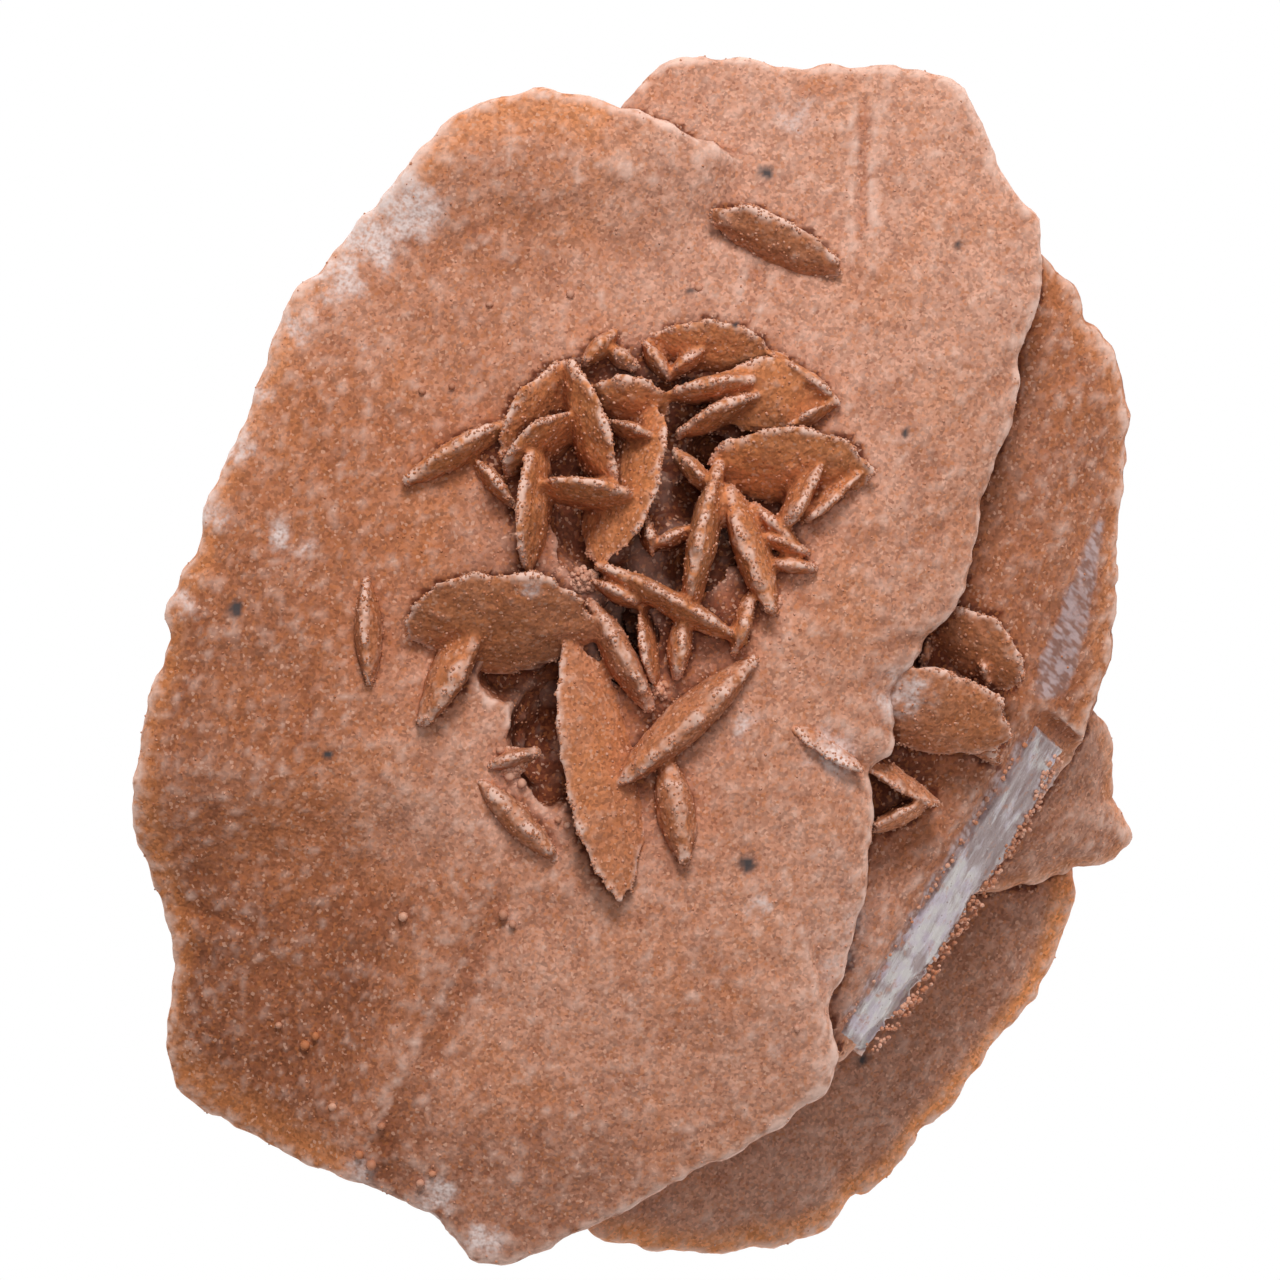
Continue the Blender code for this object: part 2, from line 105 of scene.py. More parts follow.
PLATES = {
    "left": dict(centre=(-14.0, -2.0), outline=LEFT_OUTLINE, grow=1.0, rise=LEFT_RISE, side=1,
                 thick=(7.0, 1.5)),
    "right": dict(centre=(7.0, 0.0), outline=RIGHT_OUTLINE, grow=1.0, rise=RIGHT_RISE, side=-1,
                  thick=(7.0, 1.5)),
    "shelf": dict(centre=(20.0, 0.0), outline=SHELF_OUTLINE, grow=1.016, level=29.0, slope=(-0.36, 0.10),
                  thick=(7.4, 3.6)),
    "spur": dict(centre=(29.0, -10.0), outline=SPUR_OUTLINE, grow=1.028, level=19.5, slope=(-0.75, 0.45),
                 thick=(6.5, 1.8)),
    "foot": dict(centre=(12.0, -22.0), outline=FOOT_OUTLINE, grow=1.036, level=15.0, slope=(-0.30, 0.16),
                 thick=(6.5, 1.6)),
}

# Underside blades: centre, bearing, tilt, half length, half height, thickness
UNDERSIDE = [
    ((-15.0, 7.0, 16.5), 176.0, 52.0, 26.0, 22.6, 8.0),
    ((13.0, 8.0, 16.5), 8.0, 56.0, 26.0, 21.6, 8.0),
    ((-1.0, -16.0, 16.0), 262.0, 50.0, 26.0, 22.6, 8.0),
    ((2.0, 21.0, 17.0), 96.0, 54.0, 25.0, 22.6, 8.0),
    ((-15.0, -17.0, 15.5), 222.0, 68.0, 22.0, 17.8, 7.0),
    ((16.0, -12.0, 13.5), 318.0, 64.0, 21.0, 15.8, 7.0),
    ((-4.0, 0.0, 16.0), 120.0, 14.0, 31.0, 25.0, 7.0),
    ((3.0, 5.0, 12.0), 300.0, 84.0, 25.0, 12.2, 7.0),
    ((-5.0, 3.0, 12.5), 205.0, 76.0, 20.0, 12.0, 7.0),
    ((1.0, -5.0, 12.0), 70.0, 72.0, 18.0, 12.0, 7.0),
]
CORE = ((0.0, -1.0, 16.0), (19.0, 26.0, 13.0))

# Small blades: both ends in plan, bow of the crest to the left, rise, thickness, lift, and for some
# the dip of the second end
CLUSTER = [
    ((-17.4, 13.1), (-9.0, 17.9), 0.6, 2.6, 1.9, 0.3),
    ((-12.2, 15.0), (-9.2, 11.4), 0.3, 2.2, 1.4, 0.0),
    ((-9.8, 14.6), (-4.9, 22.0), 2.0, 3.6, 1.3, 0.6),
    ((-9.9, 13.8), (-4.2, 18.2), 1.5, 4.2, 1.3, 0.8),
    ((-5.5, 22.4), (-1.9, 12.2), 1.4, 5.0, 1.6, 2.0),
    ((-7.8, 13.0), (0.4, 11.8), 0.9, 5.0, 1.9, 1.8),
    ((-7.2, 16.4), (-8.0, 6.6), -1.2, 4.4, 1.6, 1.2),
    ((1.3, 19.6), (-3.2, 7.0), 2.6, 4.2, 1.4, 1.0),
    ((-2.4, 17.6), (1.6, 16.2), 0.5, 4.0, 1.3, 1.0),
    ((-4.2, 21.8), (-1.4, 24.6), 0.2, 2.6, 1.5, 0.6),
    ((-2.2, 23.4), (-0.1, 21.6), 0.2, 2.6, 1.4, 0.6),
    ((-3.8, 19.6), (2.6, 18.8), 1.8, 3.0, 1.3, 0.9),
    ((0.4, 23.8), (2.5, 20.6), 0.2, 2.8, 1.4, 0.4),
    ((0.8, 23.6), (11.2, 21.8), 2.4, 3.2, 1.5, 0.5),
    ((2.2, 21.0), (5.5, 23.4), 0.3, 2.8, 1.3, 0.5),
    ((2.0, 19.6), (9.4, 20.7), 0.6, 4.4, 1.8, 1.4),
    ((2.8, 16.6), (9.6, 19.8), 0.6, 4.2, 1.7, 1.0),
    ((5.4, 19.8), (13.8, 19.4), 3.0, 2.4, 1.4, 1.3),
    ((9.2, 22.9), (15.1, 18.8), 0.6, 2.8, 1.4, 0.3),
    ((14.8, 19.2), (11.0, 17.1), -0.3, 2.6, 1.2, 0.3),
    ((5.4, 15.0), (17.4, 13.8), 2.9, 3.9, 1.5, 1.2),
    ((13.8, 15.2), (10.3, 9.2), 0.4, 3.8, 1.8, 0.8),
    ((17.0, 14.6), (12.1, 10.2), 0.4, 2.4, 1.4, 0.3),
    ((8.4, 11.6), (12.2, 8.2), 0.1, 2.6, 1.3, 0.5),
    ((8.8, 9.5), (12.9, 7.9), 0.1, 2.4, 1.3, 0.4),
    ((9.6, 7.3), (13.4, 6.8), 0.1, 2.0, 1.3, 0.2),
    ((6.6, 13.4), (10.2, 3.4), -0.4, 3.8, 2.7, 0.6),
    ((6.1, 14.8), (3.7, 3.1), -0.3, 5.2, 2.3, 1.4),
    ((2.7, 15.6), (5.9, 12.2), 0.2, 3.6, 1.5, 0.8),
    ((-3.1, 7.1), (7.8, 1.4), 0.5, 4.2, 1.9, 1.1),
    ((-3.4, 5.9), (0.4, 4.0), 0.2, 3.4, 1.4, 0.4),
    ((0.3, 4.2), (1.5, -2.2), -0.5, 3.0, 1.4, 0.0),
    ((3.3, 3.6), (2.9, -1.4), 0.2, 2.8, 1.8, 0.2),
    ((8.5, 5.2), (7.1, 0.4), 0.2, 2.6, 1.6, 0.0),
    ((0.9, 8.2), (4.4, 9.9), 0.3, 3.4, 1.4, -0.4),
    ((0.5, 10.8), (1.1, 7.6), 0.2, 3.4, 1.3, -0.4),
    ((5.4, 33.4), (15.4, 28.9), 1.7, 2.8, 1.6, 1.1),
    ((-17.6, 2.8), (-2.8, 2.8), 3.7, 5.3, 1.6, 1.9),
    ((-3.7, 4.5), (1.0, -3.7), 0.4, 3.6, 2.4, 0.8),
    ((-20.1, 6.1), (-19.9, -1.9), -0.3, 2.2, 2.0, 0.1),
    ((-11.3, 4.0), (-16.2, -5.0), 0.7, 2.7, 2.8, 0.4),
    ((-4.7, 1.9), (-0.9, -17.8), -2.8, 2.9, 1.7, 1.2),
    ((8.8, 0.2), (-1.4, -9.0), 0.4, 3.2, 3.1, 0.6),
    ((2.2, -6.8), (3.5, -15.2), 0.3, 2.4, 2.9, 0.1),
    ((-12.1, -8.7), (-5.8, -15.1), 0.2, 2.0, 2.2, 0.1),
    ((-11.2, -8.0), (-7.4, -6.8), 0.2, 1.6, 1.5, -0.2),
]
SIDE_GROUP = [
    ((21.6, 3.6), (28.8, -1.8), 2.6, 4.2, 1.5, 1.7),
    ((25.6, 0.8), (26.6, -2.0), 0.0, 3.4, 1.5, 0.8),
    ((21.9, 2.0), (21.3, -1.0), 0.1, 3.0, 1.3, -0.8),
    ((16.2, -2.2), (28.2, -5.6), 3.2, 6.2, 1.8, 4.0, 3.0),
    ((22.9, -4.2), (27.4, -7.8), 0.4, 3.4, 1.6, 0.8),
    ((11.2, -4.6), (16.8, -8.2), -0.6, 1.1, 1.1, 0.1),
    ((13.0, -4.8), (22.8, -10.9), -0.7, 5.2, 1.4, 3.0, 5.0),
    ((17.0, -13.2), (22.3, -10.4), 0.3, 4.6, 1.5, 1.0),
]
BLADE_POINT = 1.75

# Hollows between the small blades: centre in plan, depth under the plate, half sizes
HOLLOWS = [
    ((2.0, 12.5), 0.3, (9.6, 8.8, 2.3)),
    ((5.4, 15.6), 1.5, (1.7, 1.3, 4.2)),
    ((3.6, 11.4), 1.5, (1.3, 2.4, 4.2)),
    ((-0.9, 1.8), 1.0, (2.3, 3.7, 5.4)),
    ((-6.3, -5.4), 0.4, (3.2, 5.6, 4.8)),
]
# A dent beside the deepest hollow, too small for the solid, given as a hollow is
DENT = ((-9.6, -1.3), 0.4, (2.3, 2.0, 3.4))
# The clean broken edge of the shelf
CLEAVAGE = ((29.8, -6.0, 23.4), (15.6, -28.0, 26.2))
CLEAVAGE_STEEP = 50.0
CLEAVAGE_DEPTH = 12.0
CLEAVAGE_LENGTH = 31.0

# Grid sizes of the skins, and how much of a thin rim the melting takes away
BROAD_GRID = 0.36
LOWER_GRID = 0.42
UNDER_GRID = 0.65
BLADE_GRID = 0.19
MELT_LOSS = 0.35
# The blades of CLUSTER from this one on stand apart from the rosette
FIRST_VALLEY_BLADE = 36
# Cells of the height maps, and how many there are each way from the middle
MAP_CELL = 0.6
MAP_HALF = 110
# How proud of the smoothed skin a fully pale crest stands (worn, partly painted highlight), and as deep a
# crease lies fully in painted shade; and rounds of smoothing
RELIEF_DEPTH = 0.12
PLATE_ROUNDS = 8
BLADE_ROUNDS = 22

# Places of frost, in plan: x, y, radius, strength; frost fades out at FROST_SPREAD radii
FROST_SPREAD = 1.35
FROST = [
    (-18.5, 36.5, 2.6, 0.7), (-17.0, 33.5, 3.0, 1.0), (-20.0, 31.5, 3.2, 0.9), (-22.5, 28.5, 3.0, 0.7),
    (-25.5, 25.0, 2.4, 0.5), (-28.2, 20.0, 1.8, 0.45), (-29.8, 16.0, 2.2, 0.55), (-31.8, 11.0, 2.0, 0.55),
    (-34.0, 4.5, 1.6, 0.5), (-26.5, 9.2, 1.8, 0.5), (-24.8, 8.2, 1.4, 0.5), (-15.0, -40.6, 2.1, 0.8),
    (-11.5, -43.6, 2.0, 0.8), (-21.0, -38.4, 1.6, 0.6), (8.0, -5.0, 1.8, 0.45), (9.0, -18.5, 1.6, 0.5),
    (12.0, 41.0, 2.2, 0.45), (-20.0, 23.0, 1.6, 0.3), (20.0, -2.5, 3.0, 0.6), (14.5, -7.0, 2.6, 0.6),
    (-8.0, 5.6, 1.4, 0.6), (16.5, -21.0, 7.5, 0.26), (10.0, -30.0, 5.5, 0.20),
]
# Dark mineral specks, in plan: x, y, radius
SPECKS = [
    (7.3, 25.0, 0.35), (3.5, 20.7, 0.35), (20.0, 16.9, 0.40), (-30.0, 3.8, 0.75), (8.2, -15.2, 0.80),
    (9.6, 36.5, 0.7), (-23.0, -7.0, 0.4), (17.5, -31.0, 0.6), (4.0, 27.5, 0.3), (24.0, 31.0, 0.4),
]
# Furrows in the broad plates: both ends in plan, half width, depth
FURROWS = [
    ((17.0, 42.3), (16.7, 31.5), 0.42, 0.42), ((16.8, 31.5), (16.2, 27.0), 0.35, 0.12),
    ((-34.6, -18.4), (-28.5, -20.2), 0.7, 0.22), ((-19.5, -37.0), (-13.0, -24.5), 0.9, 0.30),
    ((-13.0, -24.5), (-9.5, -17.0), 0.8, 0.25), ((7.8, 24.9), (9.2, 29.5), 0.6, 0.30),
]
# Coarse round grains, in plan: x, y, radius
COARSE = [
    (-9.5, -8.6, 0.38), (-8.6, -9.2, 0.36), (-10.2, -6.7, 0.35), (-5.9, -11.9, 0.30),
    (-5.2, -12.3, 0.28), (-25.0, -29.0, 0.38), (-24.2, -28.3, 0.32), (-20.0, -38.0, 0.40),
    (-20.9, -37.2, 0.34), (-19.2, -35.0, 0.30), (-10.0, -19.0, 0.36), (-9.3, -19.7, 0.30),
    (-16.3, -39.3, 0.36), (-15.4, -38.6, 0.30), (-22.9, -33.6, 0.30), (-17.5, -19.2, 0.34),
    (-27.0, -27.5, 0.30), (-5.0, 27.3, 0.30), (-11.0, 26.5, 0.28), (4.6, 27.8, 0.30),
    (14.8, -30.6, 0.34), (11.9, -27.5, 0.30), (-13.8, 20.4, 0.30), (-16.0, 20.0, 0.26),
    (12.4, 29.9, 0.30),
]
# Heaps of loose sand, in plan: centre, radius, grains
SAND_LUMPS = [
    ((-4.0, 6.0), 1.0, 160), ((9.9, 4.4), 0.8, 90), ((-9.3, -7.6), 1.1, 110), ((1.6, -2.2), 0.7, 60),
]
# Numbers of scattered grains: on the small blades, on the plates, along the cleaved strip
BLADE_GRAINS = 5600
PLATE_GRAINS = 2400
STRIP_GRAINS = 340

# The glossy strip on the shelf's broken edge: its reach along and down the edge, and its grid
STRIP = ((-14.6, 13.8), (-0.5, 6.0))
STRIP_ROWS = 150
STRIP_COLUMNS = 26
# Where along the strip it is whitest: middle, half length, strength
PEARL = [
    (-12.6, 0.3, 0.5), (-7.6, 0.2, 0.4), (-0.6, 1.2, 0.8), (3.0, 1.4, 0.95), (7.4, 0.5, 0.9),
    (10.8, 1.2, 1.0),
]
# The pearly patch beside the shelf's rim: its left and right edges for rising y
PATCH_Y = [-3.2, 0.0, 2.0, 5.0, 7.0, 12.0]
PATCH_LEFT = [29.0, 29.6, 30.6, 31.6, 32.6, 34.2]
PATCH_RIGHT = [32.6, 33.4, 34.0, 34.6, 34.9, 35.6]


def smooth(t):
    """Nought below 0, one above 1, and a smooth step between."""
    t = np.clip(t, 0.0, 1.0)
    return t * t * (3.0 - 2.0 * t)


def left_of_crease(x, y):
    """How far a point lies to the left of the crease between the main plates."""
    return (CREASE_X + CREASE_LEAN * y - x) / math.hypot(1.0, CREASE_LEAN)


def main_top(plate, x, y):
    """Height of a main plate's top face, before it thins to its rim."""
    s = left_of_crease(x, y) * plate["side"]
    dome = CROWN - DOME_ACROSS * (x - CROWN_X) ** 2 - DOME_ALONG * (y - CROWN_Y) ** 2
    z = dome + plate["rise"] * s
    if plate["side"] > 0:
        z = z - PILLOW_DROP * smooth((PILLOW_EDGE - y) / 9.0) * smooth(s / 10.0)
        z = z - PILLOW_FALL * np.maximum(0.0, PILLOW_EDGE - y) * smooth(s / 15.0)
        z = z + RIM_LIFT * smooth((y - RIM_START) / 8.0) * smooth(s / 6.0)
    return z


def rim_reach(plate, angle):
    """Distance from a plate's centre to its rim at an angle."""
    eye = np.array(EYE)
    points = eye + plate["grow"] * (np.array(plate["outline"]) - eye) - plate["centre"]
    turns = np.arctan2(points[:, 1], points[:, 0])
    return np.interp(angle, turns, np.hypot(points[:, 0], points[:, 1]), period=TAU)


def top_face(plate, x, y, rho):
    """Height of a plate's top face, rho of the way from its centre to its rim."""
    cx, cy = plate["centre"]
    thin = 0.42 * (plate["thick"][0] - plate["thick"][1])
    if "level" in plate:
        gx, gy = plate["slope"]
        z = plate["level"] + gx * (x - cx) + gy * (y - cy)
    else:
        z = main_top(plate, x, y)
    return z - thin * rho ** 4


def share_of_reach(plate, x, y):
    """How far out a point is on a plate, as a share of the way to its rim."""
    cx, cy = plate["centre"]
    return np.hypot(x - cx, y - cy) / rim_reach(plate, np.arctan2(y - cy, x - cx))


def ground(x, y):
    """Height of the highest plate under a point."""
    heights = []
    for plate in PLATES.values():
        rho = float(share_of_reach(plate, x, y))
        if rho <= 1.0:
            heights.append(float(top_face(plate, x, y, rho)))
    return max(heights)


def fractal(point, octaves):
    """Smooth noise of several octaves: each is a wavelength and a height in millimetres."""
    total = 0.0
    for wavelength, height in octaves:
        total += height * noise.noise(point / wavelength)
    return total


def noise_at(places, octaves):
    """The smooth noise of several octaves at many places."""
    return np.array([fractal(Vector(p), octaves) for p in places])


def add_object(name, data):
    """Put an object of some mesh, lamp or camera in the scene."""
    obj = bpy.data.objects.new(name, data)
    bpy.context.scene.collection.objects.link(obj)
    return obj


def mesh_of(bm, name):
    """The mesh of a bmesh that isn't needed any more."""
    mesh = bpy.data.meshes.new(name)
    bm.to_mesh(mesh)
    bm.free()
    return mesh


def to_object(bm, name):
    """Make an object of a finished bmesh, whose sizes are millimetres."""
    bmesh.ops.triangulate(bm, faces=bm.faces)
    bmesh.ops.scale(bm, vec=(MM, MM, MM), verts=bm.verts)
    return add_object(name, mesh_of(bm, name))


def scallop(x, y, seed):
    """How far a broken rim wanders from its smooth outline at a point."""
    point = Vector((x, y, 31.0 * seed))
    return fractal(point, ((5.0, 0.7), (2.1, 0.45), (0.9, 0.30)))


def make_plate(name, plate, seed):
    """A broad plate with a wandering rim and gently uneven faces."""
    bm = bmesh.new()
    bmesh.ops.create_uvsphere(bm, u_segments=420, v_segments=28, radius=1.0)
    cx, cy = plate["centre"]
    middle, rim = plate["thick"]
    rho = np.array([min(1.0, math.hypot(v.co.x, v.co.y)) for v in bm.verts])
    angle = np.array([math.atan2(v.co.y, v.co.x) for v in bm.verts])
    upper = np.array([v.co.z > 0.0 for v in bm.verts])
    reach = rim_reach(plate, angle)
    wander = np.array([
        scallop(cx + r * math.cos(a), cy + r * math.sin(a), seed) for r, a in zip(reach, angle)
    ])
    out = reach * rho + (wander + MELT_LOSS) * rho ** 3
    x = cx + out * np.cos(angle)
    y = cy + out * np.sin(angle)
    top = top_face(plate, x, y, rho)
    thick = rim + (middle - rim) * (1.0 - rho * rho)
    z = np.where(upper, top, top - thick)
    z = np.where(rho > 0.999, top - 0.5 * rim, z)
    for v, vx, vy, vz in zip(bm.verts, x, y, z):
        v.co = (vx, vy, vz)
    return to_object(bm, name)


def blade_mesh(half_length, half_height, thick, sides, rings, wander, rng):
    """A lens lying level: half_length along X, half_height along Y, with pointed ends."""
    bm = bmesh.new()
    bmesh.ops.create_uvsphere(bm, u_segments=sides, v_segments=rings, radius=1.0)
    start = Vector((rng.uniform(0, 90), rng.uniform(0, 90), 0.0))
    for v in bm.verts:
        rho = min(1.0, math.hypot(v.co.x, v.co.y))
        angle = math.atan2(v.co.y, v.co.x)
        c, s = math.cos(angle), math.sin(angle)
        spread = (abs(c) ** BLADE_POINT + abs(s) ** BLADE_POINT) ** (-1.0 / BLADE_POINT)
        spread *= 1.0 + wander * noise.noise(start + Vector((2.2 * c, 2.2 * s, 0.0)))
        height = math.copysign(0.5 * thick * (0.2 + 0.8 * (1.0 - rho * rho)), v.co.z)
        if rho > 0.999:
            height = 0.0
        x = half_length * rho * spread * c
        y = half_height * rho * spread * s
        ragged = 1.0 + 0.10 * rho ** 4 * noise.noise(start + Vector((x, y, 7.0)) * 1.4)
        v.co = (x * ragged, y * ragged, height)
    return bm


def make_blade(name, number, blade):
    """A small blade that stands out of the plate under it, or leans over it."""
    (x0, y0), (x1, y1), bow, rise, thick, lift, *dip = blade
    rng = random.Random(100 + number)
    along = Vector((x1 - x0, y1 - y0, -sum(dip)))
    half_length = 0.5 * along.length
    along.normalize()
    left = Vector((-along.y, along.x, 0.0)).normalized()
    up = left * bow + Vector((0.0, 0.0, rise - lift))
    up -= along * up.dot(along)
    half_height = up.length
    up.normalize()
    x, y = 0.5 * (x0 + x1), 0.5 * (y0 + y1)
    bm = blade_mesh(half_length, half_height, thick, 56, 16, 0.12, rng)
    turn = Matrix((along, up, along.cross(up))).transposed().to_4x4()
    place = Matrix.Translation((x, y, ground(x, y) + lift)) @ turn
    bmesh.ops.transform(bm, matrix=place, verts=bm.verts)
    return to_object(bm, name)


def make_underside(name, number, blade):
    """A large blade of the underside, tilted outwards."""
    centre, bearing, tilt, half_length, half_height, thick = blade
    rng = random.Random(10 + number)
    bm = blade_mesh(half_length, half_height, thick, 160, 20, 0.16, rng)
    turn = Matrix.Rotation(math.radians(bearing + 90.0), 4, "Z")
    lean = Matrix.Rotation(math.radians(tilt), 4, "X")
    bmesh.ops.transform(bm, matrix=Matrix.Translation(centre) @ turn @ lean, verts=bm.verts)
    return to_object(bm, name)


def make_lump(name, centre, radii, rough):
    """A rounded lump or hollow with an uneven face."""
    bm = bmesh.new()
    bmesh.ops.create_icosphere(bm, subdivisions=5, radius=1.0)
    for v in bm.verts:
        point = v.co * 2.5 + Vector(centre)
        swell = 1.0 + 0.10 * noise.noise(point) + rough * noise.noise(point * 2.3)
        v.co = [centre[i] + radii[i] * swell * v.co[i] for i in range(3)]
    return to_object(bm, name)


def cleavage_place():
    """The plane of the shelf's broken edge: Z out of it, X along it."""
    start, end = Vector(CLEAVAGE[0]), Vector(CLEAVAGE[1])
    along = (end - start).normalized()
    outward = Vector((-along.y, along.x, 0.0)).normalized()
    steep = math.radians(CLEAVAGE_STEEP)
    down = outward * math.cos(steep) - Vector((0.0, 0.0, math.sin(steep)))
    normal = along.cross(down).normalized()
    turn = Matrix((along, normal.cross(along), normal)).transposed().to_4x4()
    return Matrix.Translation(0.5 * (start + end)) @ turn


def make_cleavage_cutter():
    """A block that takes away the shelf outside its broken edge."""
    bm = bmesh.new()
    bmesh.ops.create_cube(bm, size=1.0)
    size = (CLEAVAGE_LENGTH, 3.0 * CLEAVAGE_DEPTH, CLEAVAGE_DEPTH)
    bmesh.ops.scale(bm, vec=size, verts=bm.verts)
    bmesh.ops.translate(bm, vec=(0.0, 0.0, 0.5 * CLEAVAGE_DEPTH), verts=bm.verts)
    bmesh.ops.transform(bm, matrix=cleavage_place(), verts=bm.verts)
    return to_object(bm, "cleavage_cutter")


def baked(obj):
    """The object's mesh with its modifiers applied."""
    graph = bpy.context.evaluated_depsgraph_get()
    mesh = bpy.data.meshes.new_from_object(obj.evaluated_get(graph))
    obj.modifiers.clear()
    obj.data = mesh
    return obj


def cut(obj, cutter):
    """Take the cutter's solid from the object."""
    boolean = obj.modifiers.new("cut", "BOOLEAN")
    boolean.operation = "DIFFERENCE"
    boolean.object = cutter
    boolean.solver = "MANIFOLD"
    return baked(obj)


def melt(name, parts, grid):
    """Fuse overlapping solids into one skin of even grid size, soft where they meet."""
    bm = bmesh.new()
    for part in parts:
        bm.from_mesh(part.data)
    obj = add_object(name, mesh_of(bm, name))
    remesh = obj.modifiers.new("melt", "REMESH")
    remesh.mode = "VOXEL"
    remesh.voxel_size = grid * MM
    return baked(obj)


def discard(objects):
    """Remove helper objects."""
    for obj in objects:
        bpy.data.objects.remove(obj)


def points_of(mesh):
    """Vertex places in millimetres, and vertex normals."""
    count = len(mesh.vertices)
    places = np.empty(count * 3)
    normals = np.empty(count * 3)
    mesh.vertices.foreach_get("co", places)
    mesh.vertices.foreach_get("normal", normals)
    return places.reshape(-1, 3) / MM, normals.reshape(-1, 3)


def move_points(mesh, places):
    """Put the vertices at new places, given in millimetres."""
    mesh.vertices.foreach_set("co", (places * MM).ravel())
    mesh.update()


def roughen(obj, octaves, seed, calm=None):
    """Raise and lower a skin along its normals, less where it is calm."""
    places, normals = points_of(obj.data)
    shift = Vector((7.7 * seed, 3.1 * seed, 5.3 * seed))
    height = np.array([fractal(Vector(p) + shift, octaves) for p in places])
    if calm is not None:
        height *= 1.0 - 0.9 * calm(places)
    places = places + normals * height[:, None]
    places[:, 2] = np.maximum(places[:, 2], 0.0)
    move_points(obj.data, places)


def plough(obj):
    """Press the furrows into the upper side of a skin."""
    places, normals = points_of(obj.data)
    wander = noise_at(places, ((1.1, 0.5),))
    for (x0, y0), (x1, y1), half_width, depth in FURROWS:
        length = math.hypot(x1 - x0, y1 - y0)
        ax, ay = (x1 - x0) / length, (y1 - y0) / length
        along = (places[:, 0] - x0) * ax + (places[:, 1] - y0) * ay
        beside = (places[:, 1] - y0) * ax - (places[:, 0] - x0) * ay + wander * half_width
        inside = smooth((along + 0.6) / 1.2) * smooth((length + 0.6 - along) / 1.2)
        inside = inside * np.exp(-(beside / half_width) ** 2) * (normals[:, 2] > 0.5)
        places[:, 2] -= depth * inside * (1.0 + 0.6 * wander)
    move_points(obj.data, places)


def smoothed(mesh, places, rounds):
    """The places after a number of rounds of averaging with their neighbours."""
    edges = np.empty(len(mesh.edges) * 2, dtype=np.int64)
    mesh.edges.foreach_get("vertices", edges)
    edges = edges.reshape(-1, 2)
    count = np.bincount(edges.ravel(), minlength=len(places)).astype(float)[:, None]
    for _ in range(rounds):
        total = np.zeros_like(places)
        for axis in range(3):
            total[:, axis] += np.bincount(edges[:, 0], places[edges[:, 1], axis], minlength=len(places))
            total[:, axis] += np.bincount(edges[:, 1], places[edges[:, 0], axis], minlength=len(places))
        places = 0.5 * places + 0.5 * total / count
    return places


def convexity(obj, rounds):
    """How far each vertex stands out of the smoothed skin, in millimetres."""
    places, normals = points_of(obj.data)
    return np.einsum("ij,ij->i", places - smoothed(obj.data, places, rounds), normals)


def map_cells(x, y):
    """The cells of the height map that hold some points."""
    ix = np.clip((x / MAP_CELL + MAP_HALF).astype(int), 0, 2 * MAP_HALF - 1)
    iy = np.clip((y / MAP_CELL + MAP_HALF).astype(int), 0, 2 * MAP_HALF - 1)
    return ix, iy


def height_map(skins, side):
    """The highest points of the skins on a grid in plan, or with side -1 the lowest."""
    heights = np.full((2 * MAP_HALF, 2 * MAP_HALF), -99.0)
    for skin in skins:
        places, _ = points_of(skin.data)
        np.maximum.at(heights, map_cells(places[:, 0], places[:, 1]), side * places[:, 2])
    return heights


def sky_share(places, heights, side):
    """The share of the sky that each point sees over the height map's horizon."""
    z = side * places[:, 2] + 0.15
    total = np.zeros(len(places))
    for k in range(12):
        turn = TAU * k / 12
        horizon = np.zeros(len(places))
        for reach in (0.7, 1.3, 2.1, 3.2, 5.0, 8.0):
            dx, dy = reach * math.cos(turn), reach * math.sin(turn)
            cells = map_cells(places[:, 0] + dx, places[:, 1] + dy)
            horizon = np.maximum(horizon, (heights[cells] - z) / reach)
        total += 1.0 - horizon / np.sqrt(1.0 + horizon * horizon)
    covered = smooth((heights[map_cells(places[:, 0], places[:, 1])] - z - 1.0) / 1.5)
    return total / 12 * (1.0 - 0.75 * covered)


def store(obj, name, values):
    """Keep a number between 0 and 1 on every vertex, for the material."""
    attribute = obj.data.attributes.new(name, "FLOAT", "POINT")
    attribute.data.foreach_set("value", np.clip(values, 0.0, 1.0).astype(np.float32))


def patches(places, sizes, low, high):
    """Random patches of the given wavelengths, from 0 to 1 as the noise goes from low to high."""
    total = noise_at(places, sizes)
    return smooth((total - low) / (high - low))


def frost_at(places):
    """Frost in the patches where it shows, broken up by noise."""
    total = np.zeros(len(places))
    for x, y, radius, strength in FROST:
        far = np.hypot(places[:, 0] - x, places[:, 1] - y) / (FROST_SPREAD * radius)
        total = np.maximum(total, strength * (1.0 - smooth(far)))
    spots = noise_at(places, ((1.3, 0.9), (0.5, 0.6)))
    return smooth(0.75 * (1.9 * total + spots - 0.15)) * smooth(2.2 * total)


def specks_at(places):
    """The dark mineral specks of the upper side."""
    total = np.zeros(len(places))
    wander = noise_at(places, ((0.5, 0.4),))
    for x, y, radius in SPECKS:
        far = np.hypot(places[:, 0] - x, places[:, 1] - y) / radius + wander
        total = np.maximum(total, 1.0 - smooth((far - 0.4) / 0.7))
    return total


def lower_masks(places):
    """Which points lie on the shelf plate, and which on the plates below it."""
    x, y, z = places.T
    on_foot = smooth((18.5 - z) / 2.0) * smooth((-12.0 - y) / 4.0)
    on_spur = smooth((x - 28.0) / 3.0) * smooth((22.5 - z) / 2.0) * smooth((-3.0 - y) / 2.0)
    return smooth((x - 15.0) / 6.0) * smooth((31.0 - z) / 3.0), np.maximum(on_foot, on_spur)


